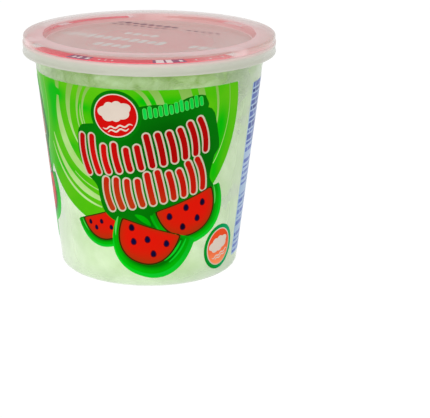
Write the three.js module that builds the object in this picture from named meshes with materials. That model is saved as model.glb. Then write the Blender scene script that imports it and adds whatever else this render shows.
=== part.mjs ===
// A tub of cotton candy, as sold off a shelf: a thin-walled tapered plastic tub, the wad of pale
// green spun sugar that fills it, a printed card disc lying on the tub's rim, and a press-on plastic
// lid over the disc. Millimetres, +Z up. The origin is the middle of the foot ring's underside, and
// every round piece is turned about the Z axis.
import * as THREE from "three";

// ---- Driving dimensions ----

const SEGMENTS = 56; // facets round the axis, the same on every piece so that gaps stay even
const GAP = 0.3; // clearance between pieces that touch

// The whole pack.
const HEIGHT = 110; // from the floor to the top of the lid's stacking ring
const LID_RADIUS = 58.5; // the lid's skirt, the widest place
const SKIRT_BOTTOM = 101.6; // lower edge of the lid

// The tub.
const WALL = 0.7; // plastic thickness of the tub
const BASE_RADIUS = 41.85; // outer radius where the wall leaves the base corner
const BASE_CORNER = 2.4; // radius of the rounded edge between base and wall
const MOUTH_RADIUS = 53.25; // outer radius level with the lid's lower edge
const FOOT_WIDTH = 4.2; // flat ring that the tub stands on
const BASE_LIFT = 1.6; // how far the middle of the base is raised above the foot ring
const RIM_OUTER = 57.2; // the turned-down rim that the lid snaps over
const RIM_INSET = 2.9; // how far the rim's outer face stands out from the wall
const RIM_DROP = 2.2; // height of the turned-down rim

// The lid.
const SHEET = 0.6; // plastic thickness of the lid
const RING_RADIUS = 58.2; // outer face of the stacking ring
const RING_WIDTH = 7.8; // flat top of the stacking ring
const RING_HEIGHT = 2.8; // from the ledge to the top of the ring
const RING_CORNER = 0.8; // rounded outer edge of the ring
const PANEL_DEPTH = 3.8; // how far the middle panel lies below the ring
const PANEL_RADIUS = 47.9; // edge of the flat middle panel
const LEDGE = 0.5; // height of the sloping ledge between ring and skirt
const NOTCH = 0.2; // groove that sets the ring off from the skirt
const SNAP_BEAD = 0.9; // how far the bead inside the skirt reaches under the tub's rim
const LIP = 0.3; // rounding of the skirt's lower edge

// The card disc.
const CARD = 0.4; // card thickness
const CARD_RADIUS = 57.1; // cut edge of the card
const CARD_BELOW_TOP = 2.7; // top of the card's border below the top of the ring
const CARD_BORDER = 50.6; // inner edge of the border that lies on the rim
const CARD_DISH = 48.3; // outer edge of the part pressed down under the lid's panel

// The spun sugar.
const WAD_ROWS = 9; // rows of relief up the side
const WAD_RINGS = 5; // rings of relief on the top and on the bottom
const WAD_TOP = 104.5; // highest point of the sugar under the card
const WAD_EDGE = 1.2; // how far in the rounded edges reach, top and bottom
const WAD_DEPTH = 1.3; // deepest fold in the side
const WAD_DIP = 1.2; // deepest hollow in the top
const FOLD_COUNT = 5; // folds round the wad
const FOLD_LEAN = 2.2; // how far the folds lean to either side on their way up, in radians of wave
const FOLD_LEAN_RUN = 13; // height over which that lean turns by one radian
const FOLD_BREAK_RUN = 7; // height over which a fold fades into a crest, for each radian
const FOLD_BREAK_LEAN = 1.7; // how unevenly the folds break off round the wad, in radians
const FOLD_BREAK_COUNT = 3; // places round the wad where they break off highest

// ---- Values worked out from them ----

const TAPER_SLOPE = (MOUTH_RADIUS - BASE_RADIUS) / (SKIRT_BOTTOM - BASE_CORNER);
const TAPER = Math.atan(TAPER_SLOPE);
const CARD_TOP = HEIGHT - CARD_BELOW_TOP;
const RIM_TOP = CARD_TOP - CARD - GAP;
const PANEL_TOP = HEIGHT - PANEL_DEPTH;
const PANEL_UNDER = PANEL_TOP - SHEET;

// ---- Helpers ----

/** Outer radius of the tub's wall at a height. */
function wallRadius(z) {
  return BASE_RADIUS + TAPER_SLOPE * (z - BASE_CORNER);
}

/** Points along an arc in the (radius, height) plane, angles in radians from the radial direction. */
function arc(centreR, centreZ, radius, from, to, steps) {
  return Array.from({ length: steps + 1 }, (_, i) => {
    const a = from + ((to - from) * i) / steps;
    return [centreR + radius * Math.cos(a), centreZ + radius * Math.sin(a)];
  });
}

/** A profile of [radius, height] pairs turned about the Z axis. */
function turned(profile) {
  const points = profile.map(([r, z]) => new THREE.Vector2(r, z));
  return new THREE.LatheGeometry(points, SEGMENTS).rotateX(Math.PI / 2);
}

/** A named mesh with its own material. */
function piece(name, geometry, look) {
  const mesh = new THREE.Mesh(geometry, new THREE.MeshStandardMaterial(look));
  mesh.name = name;
  return mesh;
}

// ---- The tub: out under the base, up the wall, over the rim and down the inside ----

function tubGeometry() {
  const cornerR = wallRadius(BASE_CORNER) - BASE_CORNER / Math.cos(TAPER);
  const down = -Math.PI / 2;
  const footInner = cornerR - FOOT_WIDTH;
  const inner = (z) => wallRadius(z) - WALL;
  const rimUnder = RIM_TOP - WALL;
  const lipInner = RIM_OUTER - WALL;
  const lipBottom = RIM_TOP - RIM_DROP;
  const wallTop = RIM_OUTER - RIM_INSET;
  return turned([
    [0, BASE_LIFT],
    [footInner - BASE_LIFT / 2, BASE_LIFT],
    [footInner, 0],
    ...arc(cornerR, BASE_CORNER, BASE_CORNER, down, -TAPER, 4),
    [wallRadius(rimUnder - WALL), rimUnder - WALL],
    [wallTop + WALL / 2, rimUnder],
    [lipInner, rimUnder],
    [lipInner, lipBottom],
    [RIM_OUTER, lipBottom],
    ...arc(RIM_OUTER - WALL, RIM_TOP - WALL, WALL, 0, -down, 2),
    [wallTop, RIM_TOP],
    [inner(rimUnder), rimUnder],
    ...arc(cornerR, BASE_CORNER, BASE_CORNER - WALL, -TAPER, down, 3),
    [footInner + WALL / 2, WALL],
    [footInner - BASE_LIFT / 2 + WALL / 2, BASE_LIFT + WALL],
    [0, BASE_LIFT + WALL],
  ]);
}

// ---- The lid: out under the panel, down inside the skirt, up outside and back over the top ----

function lidGeometry() {
  const right = Math.PI / 2;
  const ringTopInner = RING_RADIUS - RING_CORNER - RING_WIDTH;
  const ledgeTop = HEIGHT - RING_HEIGHT;
  const skirtTop = ledgeTop - LEDGE;
  const ringInside = RING_RADIUS - NOTCH - SHEET;
  const skirtInside = LID_RADIUS - SHEET;
  const beadZ = RIM_TOP - RIM_DROP - SNAP_BEAD - GAP;
  return turned([
    [0, PANEL_UNDER],
    [PANEL_RADIUS + SHEET / 2, PANEL_UNDER],
    [PANEL_RADIUS + SHEET + SHEET / 2, PANEL_UNDER + SHEET],
    [ringTopInner + SHEET / 2, HEIGHT - SHEET],
    [ringInside - SHEET, HEIGHT - SHEET],
    [ringInside, HEIGHT - 2 * SHEET],
    [ringInside, ledgeTop],
    [skirtInside, skirtTop - SHEET],
    [skirtInside, beadZ + SNAP_BEAD],
    [skirtInside - SNAP_BEAD, beadZ + SNAP_BEAD / 3],
    [skirtInside - SNAP_BEAD, beadZ - SNAP_BEAD / 3],
    [skirtInside, beadZ - SNAP_BEAD],
    [skirtInside, SKIRT_BOTTOM + LIP],
    [skirtInside + LIP, SKIRT_BOTTOM],
    [LID_RADIUS - LIP, SKIRT_BOTTOM + LIP / 10],
    [LID_RADIUS, SKIRT_BOTTOM + LIP * 2],
    [LID_RADIUS, skirtTop],
    [RING_RADIUS - NOTCH, ledgeTop],
    [RING_RADIUS, ledgeTop + NOTCH * 2],
    ...arc(RING_RADIUS - RING_CORNER, HEIGHT - RING_CORNER, RING_CORNER, 0, right, 3),
    ...arc(ringTopInner, HEIGHT - SHEET, SHEET, right, 2 * right - TAPER, 2),
    [PANEL_RADIUS + SHEET / 2, PANEL_TOP + SHEET / 2],
    [PANEL_RADIUS, PANEL_TOP],
    [0, PANEL_TOP],
  ]);
}

// ---- The card disc: a flat border on the rim, and a middle pressed down by the lid's panel ----

function cardGeometry() {
  const dishTop = PANEL_UNDER - GAP;
  return turned([
    [0, dishTop - CARD],
    [CARD_DISH, dishTop - CARD],
    [CARD_BORDER, CARD_TOP - CARD],
    [CARD_RADIUS, CARD_TOP - CARD],
    [CARD_RADIUS, CARD_TOP],
    [CARD_BORDER - CARD / 2, CARD_TOP],
    [CARD_DISH - CARD / 2, dishTop],
    [0, dishTop],
  ]);
}

// ---- The spun sugar: it fills the tub, and its skin is folded where the wad is squeezed in ----

/** Depth of the folds at a place on the skin, from 0 at a crest to 1 in a fold. */
function fold(angle, across) {
  const wave = Math.sin(FOLD_COUNT * angle + FOLD_LEAN * Math.sin(across / FOLD_LEAN_RUN));
  const cross = Math.cos(across / FOLD_BREAK_RUN + FOLD_BREAK_LEAN * Math.sin(FOLD_BREAK_COUNT * angle));
  return 0.5 + 0.5 * wave * cross;
}

function wadGeometry() {
  const floor = BASE_LIFT + WALL + GAP;
  const sideBottom = floor + WAD_EDGE;
  const sideTop = WAD_TOP - WAD_EDGE;
  const sideRadius = (z) => wallRadius(z) - WALL - GAP;
  const ring = (i, z, edge) => [(edge * i) / WAD_RINGS, z];
  const steps = (count) => Array.from({ length: count }, (_, i) => i);
  const heightOf = (i) => sideBottom + ((sideTop - sideBottom) * i) / (WAD_ROWS - 1);
  const bottomEdge = sideRadius(sideBottom) - WAD_EDGE;
  const topEdge = sideRadius(sideTop) - WAD_EDGE;
  const geometry = turned([
    ...steps(WAD_RINGS + 1).map((i) => ring(i, floor, bottomEdge)),
    ...steps(WAD_ROWS).map((i) => [sideRadius(heightOf(i)), heightOf(i)]),
    ...steps(WAD_RINGS + 1).map((i) => ring(WAD_RINGS - i, WAD_TOP, topEdge)),
  ]);
  const at = geometry.getAttribute("position");
  for (let i = 0; i < at.count; i++) {
    const [x, y, z] = [at.getX(i), at.getY(i), at.getZ(i)];
    const radius = Math.hypot(x, y);
    const angle = Math.atan2(y, x);
    const onSide = z > floor + GAP && z < WAD_TOP - GAP;
    const drawnIn = onSide ? (WAD_DEPTH * fold(angle, z)) / radius : 0;
    const onTop = z > WAD_TOP - GAP;
    const spread = radius / topEdge;
    const dip = onTop ? WAD_DIP * (spread * fold(angle, radius) + (1 - spread) / 2) : 0;
    at.setXYZ(i, x * (1 - drawnIn), y * (1 - drawnIn), z - dip);
  }
  return geometry;
}

// ---- The pack, from the inside out ----

const pack = new THREE.Group();
pack.add(
  piece("candy", wadGeometry(), { color: 0xd4ecb8, roughness: 0.95, metalness: 0 }),
  piece("tub", tubGeometry(), { color: 0xdfeee0, roughness: 0.3, metalness: 0 }),
  piece("card_disc", cardGeometry(), { color: 0xc4203a, roughness: 0.45, metalness: 0 }),
  piece("lid", lidGeometry(), { color: 0xe6e2e0, roughness: 0.25, metalness: 0 }),
);

export default pack;
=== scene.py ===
"""Looks of a lidded, see-through tub of pale green cotton candy.

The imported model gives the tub, its lid, the card disc under the lid and the wad of spun sugar. Each
is replaced here by a smoother, more detailed surface of the same size, and the print on the tub's
wall and on the card is laid on as thin skins of ink. Lengths are millimetres, and meshes are written
in metres.
"""

from __future__ import annotations

import logging
import math
from collections.abc import Callable, Sequence
from dataclasses import dataclass, field
from enum import Enum
from typing import Protocol

import bpy
import numpy as np
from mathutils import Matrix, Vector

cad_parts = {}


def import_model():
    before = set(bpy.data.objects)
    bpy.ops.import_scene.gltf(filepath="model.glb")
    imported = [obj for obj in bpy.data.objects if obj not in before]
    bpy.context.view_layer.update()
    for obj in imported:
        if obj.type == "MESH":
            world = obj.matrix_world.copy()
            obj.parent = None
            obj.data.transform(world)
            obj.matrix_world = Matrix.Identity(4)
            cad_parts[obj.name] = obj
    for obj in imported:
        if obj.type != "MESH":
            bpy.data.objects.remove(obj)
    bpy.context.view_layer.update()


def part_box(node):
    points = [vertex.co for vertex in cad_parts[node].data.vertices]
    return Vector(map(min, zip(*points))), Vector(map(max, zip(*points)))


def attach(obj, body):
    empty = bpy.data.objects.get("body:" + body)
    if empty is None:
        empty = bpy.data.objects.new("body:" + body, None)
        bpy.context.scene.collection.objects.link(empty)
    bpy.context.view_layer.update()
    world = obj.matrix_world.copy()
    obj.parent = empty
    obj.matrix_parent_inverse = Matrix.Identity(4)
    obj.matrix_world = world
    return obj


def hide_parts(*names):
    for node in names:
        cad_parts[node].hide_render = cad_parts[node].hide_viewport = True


LOG = logging.getLogger("cotton_candy_tub")
MM = 0.001
TAU = 2.0 * math.pi
BODY = "root"

Array = np.ndarray
Colour = tuple[float, float, float]


# ---------------------------------------------------------------- surfaces


@dataclass(frozen=True)
class Shell:
    """A closed surface: points in millimetres, and its faces as rows of point indices."""

    points: Array
    quads: Array
    triangles: Array

    def volume(self) -> float:
        """Signed volume: a sixth of the sum of every triangle's triple product."""
        split = np.vstack([self.quads[:, [0, 1, 2]], self.quads[:, [0, 2, 3]], self.triangles])
        a, b, c = (self.points[split[:, k]] for k in range(3))
        return float(np.einsum("ij,ij->i", a, np.cross(b, c)).sum() / 6.0)

    def outward(self) -> Shell:
        """The same surface with its faces pointing out."""
        if self.volume() >= 0.0:
            return self
        return Shell(self.points, self.quads[:, ::-1], self.triangles[:, ::-1])


def rolled(rows: Array, poles: Array) -> Shell:
    """Closes a grid of points whose every row is a closed loop.

    Each row is joined to the next by quads, and the first and last rows are closed by fans to the
    two poles.

    Args:
        rows: Points as (row, place along the loop, xyz).
        poles: The two end points.

    Returns:
        The closed shell, facing out.
    """
    count, around = rows.shape[:2]
    here = np.arange(around)
    ahead = np.roll(here, -1)
    start = np.arange(count - 1)[:, None] * around
    after = start + around
    quads = np.stack([start + here, start + ahead, after + ahead, after + here], axis=-1)
    first = np.full(around, count * around)
    last_row = (count - 1) * around
    first_fan = np.stack([ahead, here, first], axis=-1)
    last_fan = np.stack([last_row + here, last_row + ahead, first + 1], axis=-1)
    points = np.vstack([rows.reshape(-1, 3), poles])
    return Shell(points, quads.reshape(-1, 4), np.vstack([first_fan, last_fan])).outward()


def joined(shells: Sequence[Shell]) -> Shell:
    """Several shells as one, with their indices moved up in turn."""
    starts = np.cumsum([0] + [len(shell.points) for shell in shells[:-1]])
    return Shell(
        np.vstack([shell.points for shell in shells]),
        np.vstack([shell.quads + start for shell, start in zip(shells, starts)]),
        np.vstack([shell.triangles + start for shell, start in zip(shells, starts)]),
    )


def directions(count: int) -> Array:
    """Evenly spaced angles round a circle."""
    return np.arange(count) * TAU / count


def turned(profile: Array, sides: int) -> Shell:
    """A profile carried round the Z axis: (r, z) becomes (r sin t, -r cos t, z).

    Args:
        profile: Radii and heights, of which the first and last are on the axis.
        sides: Steps round the axis.

    Returns:
        The closed shell.
    """
    angle = directions(sides)
    radius, height = profile[1:-1, :1], profile[1:-1, 1:]
    level = np.broadcast_to(height, (len(height), sides))
    rows = np.stack([radius * np.sin(angle), -radius * np.cos(angle), level], axis=-1)
    return rolled(rows, np.array([[0.0, 0.0, profile[0, 1]], [0.0, 0.0, profile[-1, 1]]]))


def arc(centre: tuple[float, float], radius: float, start: float, end: float, steps: int) -> Array:
    """Points on a circle in a plane: centre + radius (cos a, sin a), a from start to end in degrees."""
    angle = np.radians(np.linspace(start, end, steps + 1))
    return np.stack([centre[0] + radius * np.cos(angle), centre[1] + radius * np.sin(angle)], axis=-1)


def make_piece(
    name: str, shell: Shell, material: bpy.types.Material, crease: float = 38.0
) -> bpy.types.Object:
    """Puts a shell into a mesh object at the origin, smooth but for edges sharper than crease.

    Args:
        name: The piece's name.
        shell: Its surface, in millimetres.
        material: Its finish.
        crease: Angle in degrees past which an edge stays sharp.

    Returns:
        The new object, linked to the scene.
    """
    mesh = bpy.data.meshes.new(name)
    corners = np.concatenate([shell.quads.ravel(), shell.triangles.ravel()]).astype(np.int32)
    sizes = np.concatenate([np.full(len(shell.quads), 4), np.full(len(shell.triangles), 3)])
    starts = np.concatenate([[0], np.cumsum(sizes)[:-1]]).astype(np.int32)
    mesh.vertices.add(len(shell.points))
    mesh.vertices.foreach_set("co", (shell.points * MM).astype(np.float32).ravel())
    mesh.loops.add(len(corners))
    mesh.loops.foreach_set("vertex_index", corners)
    mesh.polygons.add(len(sizes))
    mesh.polygons.foreach_set("loop_start", starts)
    mesh.update(calc_edges=True)
    mesh.validate()
    mesh.shade_smooth()
    mesh.set_sharp_from_angle(angle=math.radians(crease))
    mesh.materials.append(material)
    piece = bpy.data.objects.new(name, mesh)
    bpy.context.scene.collection.objects.link(piece)
    LOG.info("%s: %d faces", name, len(sizes))
    return piece


def between(value: Array, low: float, high: float, soft: float) -> Array:
    """One where a value is between two bounds and nought outside, with a soft step at each."""
    return np.clip((value - low) / soft + 0.5, 0.0, 1.0) * np.clip((high - value) / soft + 0.5, 0.0, 1.0)


def set_attribute(piece: bpy.types.Object, name: str, values: Array) -> None:
    """Gives a piece a number for each of its points."""
    attribute = piece.data.attributes.new(name, "FLOAT", "POINT")
    attribute.data.foreach_set("value", np.asarray(values, dtype=np.float32))


# ---------------------------------------------------------------- sizes


@dataclass(frozen=True)
class PackSizes:
    """The pack's driving sizes in millimetres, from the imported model's boxes and the plastic's gauge."""

    height: float
    lid_radius: float
    skirt_bottom: float
    rim_radius: float
    rim_top: float
    card_radius: float
    card_top: float
    dish_under: float
    sugar_top: float
    tub_wall: float = 0.7
    lid_sheet: float = 0.6
    card: float = 0.4
    gap: float = 0.3
    base_radius: float = 41.85
    base_corner: float = 2.4
    base_lift: float = 1.6
    mouth_radius: float = 53.25
    foot_width: float = 4.2
    rim_drop: float = 2.2
    panel_depth: float = 3.8

    @classmethod
    def from_frame(cls) -> PackSizes:
        """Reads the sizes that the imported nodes' boxes give.

        Returns:
            The sizes in millimetres.
        """
        lid_low, lid_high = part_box("lid")
        _, tub_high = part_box("tub")
        card_low, card_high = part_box("card_disc")
        _, sugar_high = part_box("candy")
        return cls(
            height=lid_high.z / MM,
            lid_radius=lid_high.x / MM,
            skirt_bottom=lid_low.z / MM,
            rim_radius=tub_high.x / MM,
            rim_top=tub_high.z / MM,
            card_radius=card_high.x / MM,
            card_top=card_high.z / MM,
            dish_under=card_low.z / MM,
            sugar_top=sugar_high.z / MM,
        )

    @property
    def slope(self) -> float:
        """How much the tub's wall widens for each millimetre of height."""
        return (self.mouth_radius - self.base_radius) / (self.skirt_bottom - self.base_corner)

    @property
    def taper(self) -> float:
        """The wall's lean from upright, in radians."""
        return math.atan(self.slope)

    @property
    def corner_radius(self) -> float:
        """Radius at which the round corner between base and wall has its centre."""
        return float(self.wall_radius(self.base_corner)) - self.base_corner / math.cos(self.taper)

    def wall_radius(self, height: Array | float) -> Array | float:
        """Outer radius of the tub's wall at a height."""
        return self.base_radius + self.slope * (height - self.base_corner)


# ---------------------------------------------------------------- finishes


def paint(red: int, green: int, blue: int) -> Colour:
    """A screen colour, 0 to 255 a channel, as linear light.

    Args:
        red: The red channel.
        green: The green channel.
        blue: The blue channel.

    Returns:
        Red, green and blue as shares of full light.
    """
    screen = np.array([red, green, blue]) / 255.0
    linear = np.where(screen <= 0.04045, screen / 12.92, ((screen + 0.055) / 1.055) ** 2.4)
    return (float(linear[0]), float(linear[1]), float(linear[2]))


def new_group(
    name: str, inputs: dict[str, tuple[str, object]], outputs: dict[str, str]
) -> bpy.types.NodeTree:
    """An empty shader node group with named sockets.

    Args:
        name: The group's name.
        inputs: Socket name to its type and default value.
        outputs: Socket name to its type.

    Returns:
        The group, holding its input and output nodes.
    """
    group = bpy.data.node_groups.new(name, "ShaderNodeTree")
    for label, (kind, default) in inputs.items():
        socket = group.interface.new_socket(label, in_out="INPUT", socket_type=kind)
        socket.default_value = default
    for label, kind in outputs.items():
        group.interface.new_socket(label, in_out="OUTPUT", socket_type=kind)
    group.nodes.new("NodeGroupInput")
    group.nodes.new("NodeGroupOutput")
    return group


def set_inputs(node: bpy.types.Node, values: dict[str, object]) -> None:
    """Sets a node's unlinked inputs by their names."""
    for label, value in values.items():
        node.inputs[label].default_value = value


def build_mottle() -> bpy.types.NodeTree:
    """Colour variation: soft noise over the piece picks between two tones of one colour.

    Returns:
        The shader group.
    """
    group = new_group(
        "Mottle",
        {
            "Tone A": ("NodeSocketColor", (0.8, 0.8, 0.8, 1.0)),
            "Tone B": ("NodeSocketColor", (0.6, 0.6, 0.6, 1.0)),
            "Scale": ("NodeSocketFloat", 100.0),
            "Detail": ("NodeSocketFloat", 3.0),
            "Low": ("NodeSocketFloat", 0.35),
            "High": ("NodeSocketFloat", 0.65),
        },
        {"Color": "NodeSocketColor"},
    )
    nodes, links = group.nodes, group.links
    inside, outside = nodes["Group Input"], nodes["Group Output"]
    place = nodes.new("ShaderNodeTexCoord")
    noise = nodes.new("ShaderNodeTexNoise")
    spread = nodes.new("ShaderNodeMapRange")
    mix = nodes.new("ShaderNodeMix")
    mix.data_type = "RGBA"
    links.new(place.outputs["Object"], noise.inputs["Vector"])
    links.new(inside.outputs["Scale"], noise.inputs["Scale"])
    links.new(inside.outputs["Detail"], noise.inputs["Detail"])
    links.new(noise.outputs["Fac"], spread.inputs["Value"])
    links.new(inside.outputs["Low"], spread.inputs["From Min"])
    links.new(inside.outputs["High"], spread.inputs["From Max"])
    links.new(spread.outputs["Result"], mix.inputs["Factor"])
    links.new(inside.outputs["Tone A"], mix.inputs["A"])
    links.new(inside.outputs["Tone B"], mix.inputs["B"])
    links.new(mix.outputs["Result"], outside.inputs["Color"])
    return group


def build_grain() -> bpy.types.NodeTree:
    """Surface grain: fine noise that roughens the gloss and lifts the surface a little.

    Returns:
        The shader group.
    """
    group = new_group(
        "Grain",
        {
            "Scale": ("NodeSocketFloat", 900.0),
            "Rough Low": ("NodeSocketFloat", 0.25),
            "Rough High": ("NodeSocketFloat", 0.4),
            "Depth": ("NodeSocketFloat", 0.00002),
        },
        {"Roughness": "NodeSocketFloat", "Height": "NodeSocketFloat"},
    )
    nodes, links = group.nodes, group.links
    inside, outside = nodes["Group Input"], nodes["Group Output"]
    place = nodes.new("ShaderNodeTexCoord")
    noise = nodes.new("ShaderNodeTexNoise")
    noise.inputs["Detail"].default_value = 4.0
    spread = nodes.new("ShaderNodeMapRange")
    lift = nodes.new("ShaderNodeMath")
    lift.operation = "MULTIPLY"
    links.new(place.outputs["Object"], noise.inputs["Vector"])
    links.new(inside.outputs["Scale"], noise.inputs["Scale"])
    links.new(noise.outputs["Fac"], spread.inputs["Value"])
    links.new(inside.outputs["Rough Low"], spread.inputs["To Min"])
    links.new(inside.outputs["Rough High"], spread.inputs["To Max"])
    links.new(noise.outputs["Fac"], lift.inputs[0])
    links.new(inside.outputs["Depth"], lift.inputs[1])
    links.new(spread.outputs["Result"], outside.inputs["Roughness"])
    links.new(lift.outputs["Value"], outside.inputs["Height"])
    return group


@dataclass(frozen=True)
class Finish:
    """A material: tones of one colour, a grain, and how glossy and see-through it is.

    Noise over the piece picks between tone_a and tone_b. Where deep is given, the piece's own "tone"
    attribute, 0 to 1, carries the colour on to it. For a see-through finish, body_head_on and
    body_at_edge are how much of the plastic itself is seen looking square at it and along it; its
    own "milk" attribute carries that on to milk.
    """

    name: str
    tone_a: Colour
    tone_b: Colour
    deep: Colour | None = None
    mottle_scale: float = 60.0
    grain_scale: float = 900.0
    rough_low: float = 0.25
    rough_high: float = 0.4
    depth: float = 0.00001
    shine: float = 0.5
    sheen: float = 0.0
    glow: float = 0.0
    edge_gloss: float = 0.0
    body_head_on: float = 1.0
    body_at_edge: float = 1.0
    body_power: float = 3.0
    milk: float = 1.0

    def build(self) -> bpy.types.Material:
        """Makes the material from the two shared groups and one Principled shader.

        Returns:
            The new material.
        """
        material = bpy.data.materials.new(self.name)
        material.use_nodes = True
        nodes, links = material.node_tree.nodes, material.node_tree.links
        shader = nodes["Principled BSDF"]
        mottle, grain = self._group(nodes, "Mottle", build_mottle), self._group(nodes, "Grain", build_grain)
        tones = {"Tone A": (*self.tone_a, 1.0), "Tone B": (*self.tone_b, 1.0)}
        set_inputs(mottle, {**tones, "Scale": self.mottle_scale})
        gloss = {"Rough Low": self.rough_low, "Rough High": self.rough_high}
        set_inputs(grain, {**gloss, "Scale": self.grain_scale, "Depth": self.depth})
        light = {"Emission Strength": self.glow, "Emission Color": (1.0, 1.0, 1.0, 1.0)}
        surface = {"IOR": 1.49, "Specular IOR Level": self.shine, "Sheen Weight": self.sheen}
        set_inputs(shader, {**surface, **light, "Coat Roughness": 0.08})
        bump = nodes.new("ShaderNodeBump")
        bump.inputs["Distance"].default_value = 1.0
        links.new(grain.outputs["Height"], bump.inputs["Height"])
        links.new(grain.outputs["Roughness"], shader.inputs["Roughness"])
        links.new(bump.outputs["Normal"], shader.inputs["Normal"])
        colour = mottle.outputs["Color"]
        if self.deep is not None:
            colour = self._deepened(nodes, links, colour)
        links.new(colour, shader.inputs["Base Color"])
        if self.edge_gloss > 0.0:
            self._gloss_at_edge(nodes, links, shader)
        if min(self.body_head_on, self.body_at_edge) < 1.0:
            self._see_through(nodes, links, shader)
        return material

    @staticmethod
    def _group(
        nodes: bpy.types.Nodes, name: str, builder: Callable[[], bpy.types.NodeTree]
    ) -> bpy.types.Node:
        """Places a shared node group, building it the first time.

        Args:
            nodes: The material's nodes.
            name: The group's name.
            builder: What builds it.

        Returns:
            The group's node.
        """
        node = nodes.new("ShaderNodeGroup")
        node.node_tree = bpy.data.node_groups.get(name) or builder()
        return node

    def _deepened(
        self, nodes: bpy.types.Nodes, links: bpy.types.NodeLinks, colour: bpy.types.NodeSocket
    ) -> bpy.types.NodeSocket:
        """Carries a colour on to the deep tone by the piece's own tone attribute.

        Args:
            nodes: The material's nodes.
            links: The material's links.
            colour: The socket that gives the colour.

        Returns:
            The socket that gives the new colour.
        """
        tone = nodes.new("ShaderNodeAttribute")
        tone.attribute_name = "tone"
        mix = nodes.new("ShaderNodeMix")
        mix.data_type = "RGBA"
        mix.inputs["B"].default_value = (*self.deep, 1.0)
        links.new(tone.outputs["Fac"], mix.inputs["Factor"])
        links.new(colour, mix.inputs["A"])
        return mix.outputs["Result"]

    def _gloss_at_edge(
        self, nodes: bpy.types.Nodes, links: bpy.types.NodeLinks, shader: bpy.types.Node
    ) -> None:
        """A clear coat that comes in only where the surface is seen nearly edge on.

        Args:
            nodes: The material's nodes.
            links: The material's links.
            shader: The Principled shader.
        """
        facing = nodes.new("ShaderNodeLayerWeight")
        amount = nodes.new("ShaderNodeMapRange")
        set_inputs(amount, {"From Min": 0.62, "From Max": 0.8, "To Max": self.edge_gloss})
        links.new(facing.outputs["Facing"], amount.inputs["Value"])
        links.new(amount.outputs["Result"], shader.inputs["Coat Weight"])

    def _see_through(
        self, nodes: bpy.types.Nodes, links: bpy.types.NodeLinks, shader: bpy.types.Node
    ) -> None:
        """Thin milky plastic: clear looking square at it, milky where it is seen edge on.

        The share of plastic runs from head on to edge on as a power of facing, and then on to milk
        by the piece's own milk attribute.

        Args:
            nodes: The material's nodes.
            links: The material's links.
            shader: The Principled shader.
        """
        facing = nodes.new("ShaderNodeLayerWeight")
        facing.inputs["Blend"].default_value = 0.5
        power = nodes.new("ShaderNodeMath")
        power.operation = "POWER"
        power.inputs[1].default_value = self.body_power
        body = nodes.new("ShaderNodeMapRange")
        set_inputs(body, {"To Min": self.body_head_on, "To Max": self.body_at_edge})
        cloud = nodes.new("ShaderNodeAttribute")
        cloud.attribute_name = "milk"
        milky = nodes.new("ShaderNodeMapRange")
        milky.inputs["To Max"].default_value = self.milk
        links.new(facing.outputs["Facing"], power.inputs[0])
        links.new(power.outputs["Value"], body.inputs["Value"])
        links.new(cloud.outputs["Fac"], milky.inputs["Value"])
        links.new(body.outputs["Result"], milky.inputs["To Min"])
        links.new(milky.outputs["Result"], shader.inputs["Alpha"])


TUB_PLASTIC = Finish(
    "tub_plastic",
    paint(238, 244, 234),
    paint(228, 236, 224),
    # deep: painted shade, a grey green taken from the sugar behind, towards the lid and on the right
    deep=paint(156, 178, 138),
    mottle_scale=36.0,
    rough_low=0.16,
    rough_high=0.26,
    depth=0.000004,
    body_head_on=0.06,
    body_at_edge=0.95,
    body_power=2.3,
    milk=0.6,
)
LID_PLASTIC = Finish(
    "lid_plastic",
    paint(195, 195, 182),
    paint(188, 188, 176),
    # deep: a rosy tint that paints the card's glow through the plastic, glints, and a highlight along the
    # ledge
    deep=paint(234, 195, 195),
    mottle_scale=24.0,
    rough_low=0.14,
    rough_high=0.24,
    depth=0.000004,
    body_head_on=0.04,
    body_at_edge=0.8,
    body_power=2.6,
    milk=0.85,
)
CARD = Finish(
    "card_stock",
    paint(246, 26, 78),
    paint(236, 20, 68),
    mottle_scale=40.0,
    rough_low=0.35,
    rough_high=0.5,
    shine=0.05,
)
SPUN_SUGAR = Finish(
    "spun_sugar",
    paint(219, 239, 200),
    paint(198, 226, 173),
    # deep: the sugar's denser green, with painted shade in its folds, on its right and towards the lid
    deep=paint(132, 170, 76),
    mottle_scale=70.0,
    grain_scale=2600.0,
    rough_low=0.75,
    rough_high=0.95,
    depth=0.0001,
    shine=0.1,
    sheen=0.15,
)
STRAND = Finish(
    "sugar_strand",
    paint(232, 246, 208),
    paint(212, 234, 182),
    # deep: the strands' deeper green towards the lid, partly painted shade
    deep=paint(152, 188, 98),
    mottle_scale=200.0,
    rough_low=0.4,
    rough_high=0.6,
    shine=0.1,
)


def ink(name: str, tone_a: Colour, tone_b: Colour, deep: Colour | None = None, scale: float = 45.0) -> Finish:
    """A printed ink: close tones of one colour, satin, and glossy only where it is seen edge on.

    Args:
        name: The material's name.
        tone_a: One tone.
        tone_b: The other tone.
        deep: What the tone attribute carries them on to.
        scale: How fine the mottle is.

    Returns:
        The finish.
    """
    return Finish(
        name,
        tone_a,
        tone_b,
        deep,
        mottle_scale=scale,
        rough_low=0.3,
        rough_high=0.42,
        depth=0.000003,
        shine=0.015,
        edge_gloss=0.25,
    )


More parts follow.
